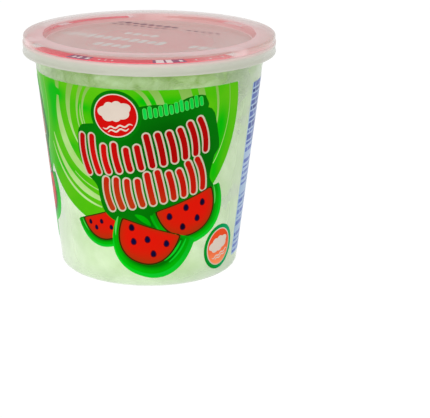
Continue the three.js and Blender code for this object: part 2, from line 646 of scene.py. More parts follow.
class Ink(Enum):
    """Every ink of the print, with its finish."""

    FIELD = ink("ink_field", paint(94, 186, 14), paint(72, 180, 6), paint(4, 176, 2))
    PALE = ink("ink_pale", paint(180, 218, 142), paint(156, 202, 108), paint(120, 170, 68), scale=60.0)
    BADGE = ink("ink_badge", paint(2, 118, 6), paint(0, 108, 2), paint(0, 84, 2))
    CREAM = ink("ink_cream", paint(218, 204, 190), paint(208, 194, 180), paint(190, 180, 158))
    RED = ink("ink_red", paint(164, 4, 2), paint(156, 2, 2), paint(200, 12, 8))
    RUST = ink("ink_rust", paint(184, 22, 6), paint(174, 18, 4), paint(174, 52, 14))
    LIME = ink("ink_lime", paint(4, 190, 52), paint(14, 200, 72), scale=120.0)
    GLINT = ink("ink_glint", paint(96, 208, 96), paint(70, 196, 70))
    RIND_EDGE = ink("ink_rind_edge", paint(4, 196, 24), paint(10, 188, 40), paint(0, 140, 10))
    RIND = ink("ink_rind", paint(0, 184, 4), paint(0, 170, 2), paint(0, 104, 0), scale=60.0)
    LINE = ink("ink_line", paint(58, 34, 2), paint(40, 44, 2))
    FLESH = ink("ink_flesh", paint(214, 18, 4), paint(204, 24, 6), paint(166, 44, 8))
    SEED = ink("ink_seed", paint(10, 8, 58), paint(16, 4, 30), scale=200.0)
    HALO = ink("ink_halo", paint(112, 10, 6), paint(96, 8, 6))
    CORAL = ink("ink_coral", paint(218, 62, 22), paint(226, 76, 34), paint(242, 140, 92))
    SEAL_RING = ink("ink_seal_ring", paint(0, 146, 30), paint(0, 136, 40), paint(0, 158, 104))
    GROUND = ink("ink_ground", paint(166, 188, 214), paint(150, 178, 206))
    BLUE = ink("ink_blue", paint(84, 104, 176), paint(100, 122, 192), paint(22, 44, 122), scale=160.0)
    PLUM = ink("ink_plum", paint(134, 26, 106), paint(108, 18, 96))
    WHITE = ink("ink_white", paint(244, 232, 234), paint(232, 218, 222))
    SMUDGE = ink("ink_smudge", paint(140, 112, 122), paint(124, 102, 112), scale=300.0)


# ---------------------------------------------------------------- flat shapes laid on a surface


class Ground(Protocol):
    """A surface that flat artwork is laid on."""

    def place(self, flat: Array, lift: Array) -> Array:
        """Points in space for flat (across, up) points raised by lift."""


@dataclass(frozen=True)
class WallGround:
    """The tub's wall, unrolled flat about one upright line.

    The wall is a cone. A flat point (a, b) is at distance rho = hypot(a, b + rho0) and angle
    phi = atan2(a, b + rho0) from the unrolled cone's tip; on the tub that is height
    z0 + (rho - rho0) cos(taper), radius rho sin(taper), and turn + phi / sin(taper) round the axis.
    """

    sizes: PackSizes
    turn: float = 0.0
    middle: float = 55.0

    @property
    def reach(self) -> float:
        """Distance from the cone's tip to the middle height, along the wall."""
        return float(self.sizes.wall_radius(self.middle)) / math.sin(self.sizes.taper)

    def place(self, flat: Array, lift: Array) -> Array:
        """Points on the wall for flat points, raised along the wall's normal.

        Args:
            flat: Flat (across, up) points.
            lift: Height above the wall.

        Returns:
            Points in space.
        """
        taper = self.sizes.taper
        rho = np.hypot(flat[..., 0], flat[..., 1] + self.reach)
        phi = np.arctan2(flat[..., 0], flat[..., 1] + self.reach)
        angle = math.radians(self.turn) + phi / math.sin(taper)
        radius = rho * math.sin(taper) + lift * math.cos(taper)
        height = self.middle + (rho - self.reach) * math.cos(taper) - lift * math.sin(taper)
        return np.stack([radius * np.sin(angle), -radius * np.cos(angle), height], axis=-1)

    def flatten(self, points: Array) -> Array:
        """Flat points for points on the wall, the reverse of place.

        Args:
            points: Points in space.

        Returns:
            Flat (across, up) points.
        """
        turn = np.arctan2(points[:, 0], -points[:, 1]) - math.radians(self.turn)
        phi = (np.mod(turn + math.pi, TAU) - math.pi) * math.sin(self.sizes.taper)
        rho = self.level(points[:, 2])
        return np.stack([rho * np.sin(phi), rho * np.cos(phi) - self.reach], axis=-1)

    def level(self, height: Array | float) -> Array | float:
        """Distance from the cone's tip to a height, along the wall."""
        return self.reach + (height - self.middle) / math.cos(self.sizes.taper)


@dataclass(frozen=True)
class CardGround:
    """A level face of the card disc: flat points are x and y, raised along +Z."""

    height: float

    def place(self, flat: Array, lift: Array) -> Array:
        """Points above the card's face."""
        level = self.height + np.broadcast_to(lift, flat.shape[:-1])
        return np.stack([flat[..., 0], flat[..., 1], level], axis=-1)


SINK = -0.03  # how far the back of an ink skin lies inside the surface it is printed on
CELL = 1.5  # longest cell of an ink skin, so that it follows the curved wall
INK_STEP = 0.012  # how much higher each ink lies than the one it is printed over
SPOKES = 96  # points round a slice's outline


def filled(ground: Ground, centre: Sequence[float], reach: Array, lift: float) -> Shell:
    """A thin skin that fills an outline seen from one centre.

    Row k of the face is centre + (k / rows) reach(t) (cos t, sin t) at height lift; the rows then
    come back to the centre under the surface, so that the skin is closed.

    Args:
        ground: The surface it lies on.
        centre: Where the outline is seen from.
        reach: The outline's distance from the centre at evenly spaced angles.
        lift: Height of the ink's face above the surface.

    Returns:
        The closed skin.
    """
    rings = max(2, math.ceil(float(reach.max()) / CELL))
    part = np.arange(1, rings + 1) / rings
    spokes = np.stack([np.cos(directions(len(reach))), np.sin(directions(len(reach)))], axis=-1)
    flat = np.asarray(centre) + part[:, None, None] * reach[:, None] * spokes
    rows = np.concatenate([ground.place(flat, np.array(lift)), ground.place(flat[::-1], np.array(SINK))])
    ends = ground.place(np.array([centre, centre], dtype=float), np.array([lift, SINK]))
    return rolled(rows, ends)


def rim_share(skin: Shell, spokes: int) -> Array:
    """How far out each point of a filled skin lies, from 0 at its centre to 1 at its outline.

    Args:
        skin: A skin made by filled.
        spokes: How many points its outline has.

    Returns:
        A share for each point.
    """
    rings = (len(skin.points) - 2) // (2 * spokes)
    part = np.arange(1, rings + 1) / rings
    return np.concatenate([np.repeat(np.concatenate([part, part[::-1]]), spokes), [0.0, 0.0]])


def ribbon(ground: Ground, flat: Array, lift: float) -> Shell:
    """A thin skin over a strip of flat artwork, closed at both ends.

    Each row runs across the strip on the face and back again under the surface, and the two ends
    close on the middle of their rows.

    Args:
        ground: The surface it lies on.
        flat: Flat points as (step along, place across, 2).
        lift: Height of the ink's face above the surface.

    Returns:
        The closed strip.
    """
    face = ground.place(flat, np.array(lift))
    back = ground.place(flat[:, ::-1], np.array(SINK))
    ends = ground.place(flat[[0, -1]].mean(axis=1), np.array((lift + SINK) / 2.0))
    return rolled(np.concatenate([face, back], axis=1), ends)


def stroke(ground: Ground, path: Array, half_width: Array, lift: float, lanes: int = 3) -> Shell:
    """A ribbon of varying width along a path of flat points.

    At each step it reaches half_width to either side, square to the path.

    Args:
        ground: The surface it lies on.
        path: Flat points along its middle.
        half_width: Half its width at each of them.
        lift: Height of the ink's face above the surface.
        lanes: Faces across it.

    Returns:
        The closed ribbon.
    """
    along = np.gradient(path, axis=0)
    along /= np.linalg.norm(along, axis=1, keepdims=True)
    side = np.stack([-along[:, 1], along[:, 0]], axis=-1)
    across = np.linspace(-1.0, 1.0, lanes + 1)[:, None]
    return ribbon(ground, path[:, None] + side[:, None] * half_width[:, None, None] * across, lift)


def bar(
    ground: Ground,
    start: Sequence[float],
    end: Sequence[float],
    half_width: float,
    lift: float,
    bow: float = 0.0,
) -> Shell:
    """A stroke with round ends, bowed to one side.

    The half-width falls as a quarter circle over its own length at each end. The path leaves the
    straight line between its ends by bow times 1 - (2 t - 1)^2, where t runs from 0 to 1.

    Args:
        ground: The surface it lies on.
        start: Its first end.
        end: Its last end.
        half_width: Half its width.
        lift: Height of the ink's face above the surface.
        bow: How far its middle moves to the left of its run.

    Returns:
        The closed stroke.
    """
    start, end = np.asarray(start, dtype=float), np.asarray(end, dtype=float)
    span = float(np.linalg.norm(end - start))
    turn = np.linspace(0.04, 0.5, 5) * math.pi
    cap = half_width * (1.0 - np.cos(turn))
    steps = max(2, math.ceil((span - 2.0 * half_width) / CELL))
    middle = np.linspace(half_width, span - half_width, steps + 1)[1:-1]
    part = np.concatenate([cap, middle, (span - cap)[::-1]])[:, None] / span
    width = np.concatenate([np.sin(turn), np.ones(len(middle)), np.sin(turn)[::-1]]) * half_width
    along = (end - start) / span
    side = np.array([-along[1], along[0]])
    path = start + (end - start) * part + side * bow * (1.0 - (2.0 * part - 1.0) ** 2)
    return stroke(ground, path, width, lift)


def panel(ground: Ground, low: Sequence[float], high: Sequence[float], lift: float) -> Shell:
    """A plain upright block between two opposite corners.

    Args:
        ground: The surface it lies on.
        low: Its lower left corner.
        high: Its upper right corner.
        lift: Height of the ink's face above the surface.

    Returns:
        The closed block.
    """
    columns = max(1, math.ceil((high[0] - low[0]) / CELL)) + 1
    rows = max(1, math.ceil((high[1] - low[1]) / CELL)) + 1
    across, up = np.meshgrid(np.linspace(low[0], high[0], columns), np.linspace(low[1], high[1], rows))
    return ribbon(ground, np.stack([across, up], axis=-1), lift)


def circle_reach(angles: Array, offset: Sequence[float], radius: float) -> Array:
    """Distance at each angle from a centre to a circle whose own centre is offset from it."""
    along = offset[0] * np.cos(angles) + offset[1] * np.sin(angles)
    return along + np.sqrt(along**2 - offset[0] ** 2 - offset[1] ** 2 + radius**2)


def edge_reach(angles: Array, facing: float, distance: float) -> Array:
    """Distance at each angle from a centre to a straight edge that faces a direction, in degrees."""
    slant = np.cos(angles - math.radians(facing))
    return np.where(slant > 0.02, distance / np.maximum(slant, 0.02), distance / 0.02)


def rounded_least(*reaches: Array, sharpness: float = 14.0) -> Array:
    """The least of several reaches with rounded corners: (sum of reach^-p) ^ (-1 / p)."""
    stack = np.stack(reaches)
    return (stack**-sharpness).sum(axis=0) ** (-1.0 / sharpness)


def smooth_outline(corners: Sequence[Sequence[float]], centre: Sequence[float], count: int) -> Array:
    """Reach from a centre to a closed smooth curve through a few corner points.

    Between corners p1 and p2 the curve is a Catmull-Rom cubic in t, which also uses the corner
    before and the corner after. Its points are then read at evenly spaced angles.

    Args:
        corners: The outline's points in order, counterclockwise or clockwise.
        centre: A point that sees the whole outline.
        count: How many angles to read.

    Returns:
        The reach at each angle.
    """
    p1 = np.asarray(corners, dtype=float)
    p0, p2, p3 = np.roll(p1, 1, axis=0), np.roll(p1, -1, axis=0), np.roll(p1, -2, axis=0)
    t = np.linspace(0.0, 1.0, 24, endpoint=False)[:, None, None]
    square, cubic = 2.0 * p0 - 5.0 * p1 + 4.0 * p2 - p3, 3.0 * (p1 - p2) + p3 - p0
    curve = 0.5 * (2.0 * p1 + (p2 - p0) * t + square * t**2 + cubic * t**3)
    seen = curve.transpose(1, 0, 2).reshape(-1, 2) - np.asarray(centre)
    angle = np.mod(np.arctan2(seen[:, 1], seen[:, 0]), TAU)
    order = np.argsort(angle)
    reach = np.hypot(seen[:, 0], seen[:, 1])
    return np.interp(directions(count), angle[order], reach[order], period=TAU)


# ---------------------------------------------------------------- the print


@dataclass
class Press:
    """Collects the skins of each ink as the print is laid out."""

    skins: dict[Ink, list[tuple[Shell, Array]]] = field(default_factory=dict)

    def add(self, colour: Ink, shell: Shell, tone: Array | None = None) -> None:
        """Adds a skin in an ink, with how far each of its points goes on to the deep tone."""
        tone = np.zeros(len(shell.points)) if tone is None else tone
        self.skins.setdefault(colour, []).append((shell, tone))

    def pull(self, prefix: str, slot: str) -> None:
        """Makes one piece of each ink that was used, riding on the pack.

        Args:
            prefix: What the pieces' names begin with.
            slot: Not used.
        """
        for colour, skins in self.skins.items():
            shell = joined([skin for skin, _ in skins])
            piece = make_piece(f"{prefix}_{colour.name.lower()}", shell, colour.value.build())
            set_attribute(piece, "tone", np.concatenate([tone for _, tone in skins]))
            piece.visible_shadow = False
            piece.visible_diffuse = False
            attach(piece, BODY)
        self.skins.clear()


def spots(flat: Array, places: Sequence[tuple[float, float, float, float, float]]) -> Array:
    """Soft spots: the sum of strength exp(-(dx / width)^2 - (dy / height)^2), held to 0 to 1.

    Args:
        flat: Flat points.
        places: Each spot's place across and up, width, height and strength.

    Returns:
        A number for each point.
    """
    total = np.zeros(len(flat))
    for across, up, width, height, strength in places:
        aside, above = (flat[:, 0] - across) / width, (flat[:, 1] - up) / height
        total += strength * np.exp(-(aside**2) - above**2)
    return np.clip(total, 0.0, 1.0)


@dataclass(frozen=True)
class Swirl:
    """A pale band of the swirl, between two bearings in degrees about its centre.

    Its inner and outer radii are given at its start, middle and end, with a parabola between. A
    bearing of None is where the band meets the field's level top edge.
    """

    start: float | None
    end: float | None
    inner: tuple[float, float, float]
    outer: tuple[float, float, float]


@dataclass(frozen=True)
class FruitSlice:
    """A half-moon of fruit: the middle of its cut edge, its tilt, half-length and depth.

    The rind is grown all round it and moved a little by shift. Seeds are placed along the cut edge
    and down from it. The glint is a span of bearings in degrees, and each gleam a middle bearing, a
    share of the way out through the rind, and a half-width.
    """

    middle: tuple[float, float]
    tilt: float
    half: float
    depth: float
    rind: float
    shift: tuple[float, float]
    seeds: tuple[tuple[float, float], ...]
    seed_size: float
    glint: tuple[float, float] = (180.0, 208.0)
    gleams: tuple[tuple[float, float, float], ...] = ()

    def to_flat(self, along: float, down: float) -> tuple[float, float]:
        """A point of the slice, along its cut edge and down from it, as flat artwork."""
        tilt = math.radians(self.tilt)
        return (
            self.middle[0] + along * math.cos(tilt) + down * math.sin(tilt),
            self.middle[1] + along * math.sin(tilt) - down * math.cos(tilt),
        )

    def outline(self, grow: float, above: float, spokes: int = SPOKES) -> Array:
        """Reach of a half-moon grown all round, from a centre a third of the way down.

        The belly is a superellipse of power 2.3 about the middle of the cut edge, found by halving
        steps, and the cut edge is a straight line; the least of the two, with rounded corners, is
        the half-moon.

        Args:
            grow: How far it is grown past the flesh.
            above: How far it is grown past the cut edge.
            spokes: How many angles to read.

        Returns:
            The reach at each angle.
        """
        centre_down = self.depth / 3.0
        local = directions(spokes) - math.radians(self.tilt)
        edge = edge_reach(local, 90.0, centre_down + above)
        low, high = np.zeros(spokes), np.full(spokes, 3.0 * self.half)
        for _ in range(30):
            trial = (low + high) / 2.0
            across = np.abs(trial * np.cos(local)) / (self.half + grow)
            down = np.abs(centre_down - trial * np.sin(local)) / (self.depth + grow)
            inside = across**2.3 + down**2.3 < 1.0
            low, high = np.where(inside, trial, low), np.where(inside, high, trial)
        return rounded_least(edge, low, sharpness=22.0)

    def lay(self, press: Press, ground: WallGround, lift: float) -> None:
        """Lays the slice: edge, rind, glint, gleams, line, flesh and seeds, each a little higher.

        The rind darkens towards the flesh, the edge towards the cut, and the flesh towards its rim.

        Args:
            press: What collects the inks.
            ground: The wall.
            lift: Height of its lowest ink above the wall.
        """
        centre = self.to_flat(0.0, self.depth / 3.0)
        moved = (centre[0] + self.shift[0], centre[1] + self.shift[1])
        halfway = (centre[0] + self.shift[0] * 0.6, centre[1] + self.shift[1] * 0.6)
        edge = filled(ground, moved, self.outline(self.rind, 0.9), lift)
        ends = [self.to_flat(side * self.half, 0.0) for side in (-1.0, 1.0)]
        dark = [(*end, self.half * 0.6, self.depth * 0.55, 0.9) for end in ends]
        press.add(Ink.RIND_EDGE, edge, spots(ground.flatten(edge.points), dark))
        rind = filled(ground, halfway, self.outline(self.rind * 0.74, 0.7), lift + INK_STEP)
        shade = np.clip((1.0 - rim_share(rind, SPOKES)) / 0.2, 0.0, 1.0) ** 2.5
        press.add(Ink.RIND, rind, np.maximum(shade, 0.75 * spots(ground.flatten(rind.points), dark)))
        width = self.rind * 0.085 * np.sin(np.linspace(0.1, 0.96, 15) * math.pi)
        press.add(Ink.GLINT, self._on_rind(ground, self.glint, 0.44, width, lift + 2.0 * INK_STEP))
        for bearing, share, half in self.gleams:
            width = half * np.sin(np.linspace(0.06, 0.94, 15) * math.pi) ** 0.6
            span = (bearing - 19.0, bearing + 19.0)
            press.add(Ink.RIND_EDGE, self._on_rind(ground, span, share, width, lift + 0.02))
        press.add(Ink.LINE, filled(ground, centre, self.outline(0.75, 0.5), lift + 2.0 * INK_STEP))
        flesh = filled(ground, centre, self.outline(0.0, 0.0), lift + 3.0 * INK_STEP)
        low = self.to_flat(0.0, self.depth)
        shade = spots(ground.flatten(flesh.points), ((*low, self.half, self.depth * 0.3, 0.5),))
        press.add(Ink.FLESH, flesh, np.clip(shade + 0.9 * rim_share(flesh, SPOKES) ** 7, 0.0, 1.0))
        for along, down in self.seeds:
            place = self.to_flat(along, down)
            press.add(Ink.HALO, self._seed(ground, place, self.seed_size * 1.28, lift + 3.5 * INK_STEP))
            press.add(Ink.SEED, self._seed(ground, place, self.seed_size, lift + 4.0 * INK_STEP))

    def _on_rind(
        self, ground: WallGround, span: tuple[float, float], share: float, width: Array, lift: float
    ) -> Shell:
        """A stroke along the rind, between two bearings about the middle of the cut edge.

        Args:
            ground: The wall.
            span: The two bearings in degrees, counted anticlockwise from the cut edge's right end.
            share: How far out through the rind it runs, 0 to 1.
            width: Its half-width at evenly spaced bearings.
            lift: Height above the wall.

        Returns:
            The stroke's skin.
        """
        turn = np.radians(np.linspace(*span, len(width)))
        across, down = self.half + self.rind * share, self.depth + self.rind * share
        path = np.array([self.to_flat(across * math.cos(a), -down * math.sin(a)) for a in turn])
        return stroke(ground, path, width, lift)

    @staticmethod
    def _seed(ground: WallGround, centre: tuple[float, float], size: float, lift: float) -> Shell:
        """A teardrop, narrow at the top: a short stroke of half-width sin(t) (0.6 + 0.4 t / pi).

        Args:
            ground: The wall.
            centre: Its middle.
            size: Half its length.
            lift: Height above the wall.

        Returns:
            The seed's skin.
        """
        t = np.linspace(0.08, 0.94, 10) * math.pi
        path = np.stack([centre[0] - 0.12 * size * np.cos(t), centre[1] + size * np.cos(t)], axis=-1)
        return stroke(ground, path, size * 0.92 * np.sin(t) * (0.6 + 0.4 * t / math.pi), lift)


LEFT_SLICE = FruitSlice(
    (-22.0, -20.8), 24.5, 10.6, 12.2, 3.6, (-0.2, -0.6),
    ((-7.9, 2.4), (-1.9, 3.5), (-5.8, 5.6), (1.7, 7.3), (4.5, 2.4)), 1.0,
)
RIGHT_SLICE = FruitSlice(
    (16.2, -13.6), 18.0, 13.7, 16.8, 3.9, (1.5, -0.8),
    ((-8.9, 4.2), (-0.5, 3.2), (7.6, 4.6), (2.9, 10.7), (-4.8, 11.5)), 1.44, (330.0, 362.0),
)
FRONT_SLICE = FruitSlice(
    (1.0, -25.8), -18.3, 13.4, 17.5, 5.6, (2.2, -1.6),
    ((-8.5, 2.6), (-5.5, 8.8), (0.0, 5.7), (8.8, 5.2), (4.8, 11.6)), 1.44,
    gleams=((334.0, 0.3, 0.62), (338.0, 0.66, 0.5)),
)


@dataclass
class WallPrint:
    """The artwork on the tub's wall: two like panels, and columns of plain small bars beside them."""

    sizes: PackSizes
    press: Press = field(default_factory=Press)
    panel_turns: tuple[float, ...] = (-108.8, 0.0)
    field_top: float = 94.4
    swirl_centre: tuple[float, float] = (-13.0, 28.0)
    tilt: float = 11.75
    bar_half: float = 1.3
    outline: float = 0.75
    columns: tuple[tuple[float, float], ...] = ((84.5, 16.2), (136.0, 22.0))
    column_foot: float = -48.4
    column_head: float = 35.8
    column_gaps: tuple[int, ...] = (4, 11, 17)
    rear_slice_lift: float = 0.016
    badge_lift: float = 0.072
    slice_lift: float = 0.082
    front_lift: float = 0.102
    side_lift: float = 0.06

    def build(self) -> None:
        """Lays both panels, each from its lowest ink up, then seal and columns, and makes the pieces."""
        for order, turn in enumerate(self.panel_turns):
            ground = WallGround(self.sizes, turn)
            base = 0.03 + 0.005 * order
            self._field(ground, base)
            LEFT_SLICE.lay(self.press, ground, base + self.rear_slice_lift)
            self._badge(ground, base + self.badge_lift)
            self._slices(ground, base + self.slice_lift)
            self._roundel(ground, base + self.front_lift)
            self._title(ground, base + self.front_lift)
            self._small_row(ground, base + self.front_lift)
        self._seal(WallGround(self.sizes), self.side_lift)
        for turn, half in self.columns:
            self._column(WallGround(self.sizes, turn), half, self.side_lift)
        self.press.pull("print", "wall_ink")

    def _field(self, ground: WallGround, lift: float) -> None:
        """The green swirl: a disc cut off level at the top, with pale bands left across it.

        Args:
            ground: The wall, turned to the panel's bearing.
            lift: Height of its lowest ink above the wall.
        """
        centre = (-12.0, 10.0)
        angles = directions(480)
        disc = circle_reach(angles, (-0.1, 19.3), 56.9)
        tip = (-centre[0], -ground.reach - centre[1])
        top = circle_reach(angles, tip, float(ground.level(self.field_top)))
        skin = filled(ground, centre, np.minimum(disc, top), lift)
        # Spots where the field's green is deeper.
        deep_spots = (
            (-48.0, 31.0, 7.0, 3.6, 1.0), (-51.0, 24.0, 4.6, 15.0, 1.0), (-30.5, 28.5, 4.5, 2.4, 0.9),
            (-66.0, 16.0, 9.0, 20.0, 0.6), (-2.0, 34.6, 5.0, 3.0, 0.9), (10.0, 34.0, 12.0, 2.6, 0.8),
            (34.6, 20.0, 4.4, 10.0, 1.0), (32.0, 6.0, 4.0, 10.0, 0.7), (30.0, -4.0, 3.6, 7.0, 0.7),
            (-44.0, -4.0, 10.0, 3.0, 0.6), (-24.0, 24.0, 3.0, 8.0, 0.6), (-38.0, 8.0, 6.0, 3.0, 0.7),
        )
        self.press.add(Ink.FIELD, skin, spots(ground.flatten(skin.points), deep_spots))
        bands = (
            Swirl(None, 205.0, (17.3, 17.9, 18.2), (19.1, 18.8, 18.6)),
            Swirl(174.0, 206.0, (19.4, 19.2, 19.3), (19.6, 20.1, 20.0)),
            Swirl(None, 206.0, (20.5, 20.8, 22.0), (22.5, 22.0, 22.5)),
            Swirl(None, 220.0, (25.2, 25.8, 26.9), (28.6, 28.0, 27.4)),
            Swirl(None, 170.5, (34.0, 33.6, 33.4), (36.8, 36.2, 35.4)),
            Swirl(176.0, 258.0, (33.2, 32.4, 34.4), (34.6, 36.9, 34.9)),
            Swirl(233.0, 256.0, (39.4, 39.0, 38.7), (39.7, 39.5, 39.2)),
            Swirl(204.0, 259.0, (42.6, 41.2, 41.8), (43.2, 44.4, 43.8)),
            Swirl(209.0, 259.0, (46.4, 46.2, 46.2), (46.8, 47.5, 46.9)),
            Swirl(18.0, None, (13.0, 13.0, 13.0), (14.8, 14.8, 14.8)),
            Swirl(12.0, None, (17.0, 17.0, 17.0), (20.4, 20.4, 20.4)),
            Swirl(12.0, None, (28.0, 28.0, 28.0), (33.2, 33.2, 33.2)),
            Swirl(9.0, None, (36.2, 36.2, 36.2), (39.3, 39.3, 39.3)),
            Swirl(-12.0, None, (44.8, 44.8, 44.8), (45.4, 45.9, 46.1)),
            Swirl(-31.0, None, (50.4, 51.6, 52.4), (50.8, 52.0, 52.8)),
        )
        for item in bands:
            skin = self._band(ground, item, lift + INK_STEP)
            # The pale bands deepen towards the lid like the sugar behind them: partly its deeper green,
            # partly painted shade under the lid.
            self.press.add(Ink.PALE, skin, np.clip((skin.points[:, 2] - 66.0) / 30.0, 0.0, 1.0))

    def _end_bearing(self, ground: WallGround, given: float | None, radius: Array, side: float) -> Array:
        """Bearings, in degrees, at which the lanes of a band end.

        Where none is given, they are where circles about the swirl's centre meet the field's top
        edge. With d the distance of the swirl's centre from the unrolled cone's tip and R that of
        the top edge, cos(bearing - tip bearing) = (R^2 - d^2 - r^2) / (2 r d).

        Args:
            ground: The wall, turned to the panel's bearing.
            given: The band's own bearing, or None for the top edge.
            radius: Each lane's radius about the swirl's centre.
            side: +1 for the left end of the top edge, -1 for the right.

        Returns:
            A bearing for each lane.
        """
        if given is not None:
            return np.full(len(radius), given)
        away = np.array([self.swirl_centre[0], self.swirl_centre[1] + ground.reach])
        d, top = float(np.linalg.norm(away)), float(ground.level(self.field_top))
        turn = np.arccos(np.clip((top**2 - d**2 - radius**2) / (2.0 * radius * d), -1.0, 1.0))
        return np.degrees(math.atan2(away[1], away[0]) + side * turn)

    def _band(self, ground: WallGround, item: Swirl, lift: float) -> Shell:
        """One pale band, as a strip whose lanes each run at their own radius.

        Args:
            ground: The wall, turned to the panel's bearing.
            item: The band.
            lift: Height of its lowest ink above the wall.

        Returns:
            The band's skin.
        """
        across = np.linspace(0.0, 1.0, 5)[:, None]
        knots = np.array(item.inner) * (1.0 - across) + np.array(item.outer) * across
        start = self._end_bearing(ground, item.start, knots[:, 0], 1.0)
        end = self._end_bearing(ground, item.end, knots[:, 2], -1.0)
        steps = max(4, math.ceil(math.radians(abs(end[0] - start[0])) * knots.max() / CELL))
        part = np.linspace(0.0, 1.0, steps + 1)[:, None]
        bearing = np.radians(start + (end - start) * part)
        radius = (
            knots[:, 0] * (1.0 - part) * (1.0 - 2.0 * part)
            + knots[:, 1] * 4.0 * part * (1.0 - part)
            + knots[:, 2] * part * (2.0 * part - 1.0)
        )
        spokes = np.stack([np.cos(bearing), np.sin(bearing)], axis=-1)
        return ribbon(ground, np.array(self.swirl_centre) + radius[..., None] * spokes, lift)

    def _badge(self, ground: WallGround, lift: float) -> None:
        """The dark green badge behind the title, and the plate that runs up beside the roundel.

        Args:
            ground: The wall, turned to the panel's bearing.
            lift: Height of its lowest ink above the wall.
        """
        corners = (
            (-32.1, 20.1), (-34.0, 16.8), (-34.2, 11.3), (-33.3, 5.5), (-31.2, 0.5), (-28.3, -3.7),
            (-25.6, -5.8), (-23.8, -8.4), (-22.8, -13.2), (-21.2, -18.0), (-18.0, -21.8), (-11.0, -25.0),
            (2.0, -27.6), (12.0, -24.6), (18.0, -15.6), (31.4, -10.0), (30.2, -7.8), (28.7, -5.0),
            (28.7, -2.0), (29.9, 2.4), (31.2, 6.4), (33.2, 8.2), (33.4, 12.0), (32.5, 17.6),
            (31.2, 23.8), (30.0, 27.0), (26.6, 29.4), (14.0, 28.6), (0.0, 26.6), (-15.0, 24.0), (-28.6, 21.4),
        )
        centre = (0.0, 6.0)
        skin = filled(ground, centre, smooth_outline(corners, centre, 160), lift)
        dark = ((10.0, 18.0, 18.0, 12.0, 1.0), (-4.0, 4.0, 16.0, 8.0, 0.6), (26.0, 2.0, 6.0, 8.0, 0.5))
        self.press.add(Ink.BADGE, skin, spots(ground.flatten(skin.points), dark))
        plate = (
            (-5.4, 31.2), (0.4, 32.8), (7.5, 33.0), (12.0, 33.4), (18.0, 35.6), (24.4, 35.8),
            (25.9, 34.4), (26.6, 29.0), (14.0, 25.4), (0.0, 24.4), (-7.0, 25.0),
        )
        middle = (10.0, 29.5)
        skin = filled(ground, middle, smooth_outline(plate, middle, 72), lift + 0.004)
        self.press.add(Ink.BADGE, skin, spots(ground.flatten(skin.points), dark))

    def _tilted(self, along: Array | float, rise: Array | float) -> Array:
        """Flat points, or offsets, for distances along and across the title's tilted axes."""
        cos, sin = math.cos(math.radians(self.tilt)), math.sin(math.radians(self.tilt))
        return np.stack([along * cos - rise * sin, along * sin + rise * cos], axis=-1)

    def _roundel(self, ground: WallGround, lift: float) -> None:
        """The roundel: dark rim, cream ring, red disc, and a plain puff over wavy lines.

        Args:
            ground: The wall, turned to the panel's bearing.
            lift: Height of its cream ring above the wall.
        """
        centre = (-15.0, 27.2)
        around = np.ones(64)
        self.press.add(Ink.BADGE, filled(ground, centre, 11.7 * around, lift - 0.02))
        self.press.add(Ink.CREAM, filled(ground, centre, 10.1 * around, lift))
        disc = filled(ground, centre, 9.6 * around, lift + INK_STEP)
        glow = spots(ground.flatten(disc.points), ((-15.0, 22.0, 9.0, 5.0, 1.0),))
        self.press.add(Ink.RED, disc, 0.75 + 0.25 * glow)
        self._puff(ground, centre, 1.12, lift + 2.0 * INK_STEP)

    def _puff(self, ground: WallGround, centre: tuple[float, float], scale: float, lift: float) -> None:
        """A plain cream cloud of spun sugar: a scalloped oval, tilted, over two thin wavy lines.

        The oval's reach is 1 / hypot(cos t / 7, sin t / 4.2), times 0.86 + 0.16 |sin(3.5 t + 0.6)|.

        Args:
            ground: The wall, turned to the panel's bearing.
            centre: Middle of the roundel it fills.
            scale: Its size, 1 for an oval of half-length 7.
            lift: Height above the wall.
        """
        local = directions(96) - math.radians(self.tilt)
        oval = 1.0 / np.hypot(np.cos(local) / 7.0, np.sin(local) / 4.2)
        scallop = 0.86 + 0.16 * np.abs(np.sin(local * 3.5 + 0.6))
        up = (centre[0] - 0.4 * scale, centre[1] + 1.7 * scale)
        self.press.add(Ink.CREAM, filled(ground, up, scale * oval * scallop, lift))
        part = np.linspace(-1.0, 1.0, 25)
        width = 0.34 * scale * np.sqrt(np.maximum(1.0 - part**4, 0.03))
        for reach, drop in ((6.2, 4.6), (4.4, 6.1)):
            wave = (0.45 * np.sin(part * reach * 1.6) - drop) * scale
            path = np.array(centre) + self._tilted(reach * scale * part, wave)
            self.press.add(Ink.CREAM, stroke(ground, path, width, lift))

    def _title(self, ground: WallGround, lift: float) -> None:
        """Two rows of plain bars that bow away from the row's middle like the stripes of a melon.

        Along the title's tilted axes each bar has its place, its foot and its height.

        Args:
            ground: The wall, turned to the panel's bearing.
            lift: Height of its lowest ink above the wall.
        """
        first_row = (19.6, 19.2, 14.2, 14.6, 11.8, 12.2, 16.6, 16.2, 15.6, 15.8, 17.2, 17.6)
        second_row = (16.2, 15.8, 14.6, 14.0, 16.2, 16.4, 14.6, 14.2, 16.6, 17.0)
        rows = ((Ink.RED, 2.9, -27.4, 4.95, first_row), (Ink.RUST, -14.6, -19.4, 4.62, second_row))
        for colour, foot, first, pitch, heights in rows:
            for index, height in enumerate(heights):
                out = 2.0 * index / (len(heights) - 1) - 1.0
                along = first + pitch * index
                low = self._tilted(along, foot + self.bar_half)
                high = self._tilted(along, foot + height - self.bar_half)
                self._title_bar(ground, colour, low, high, -1.5 * out, lift)

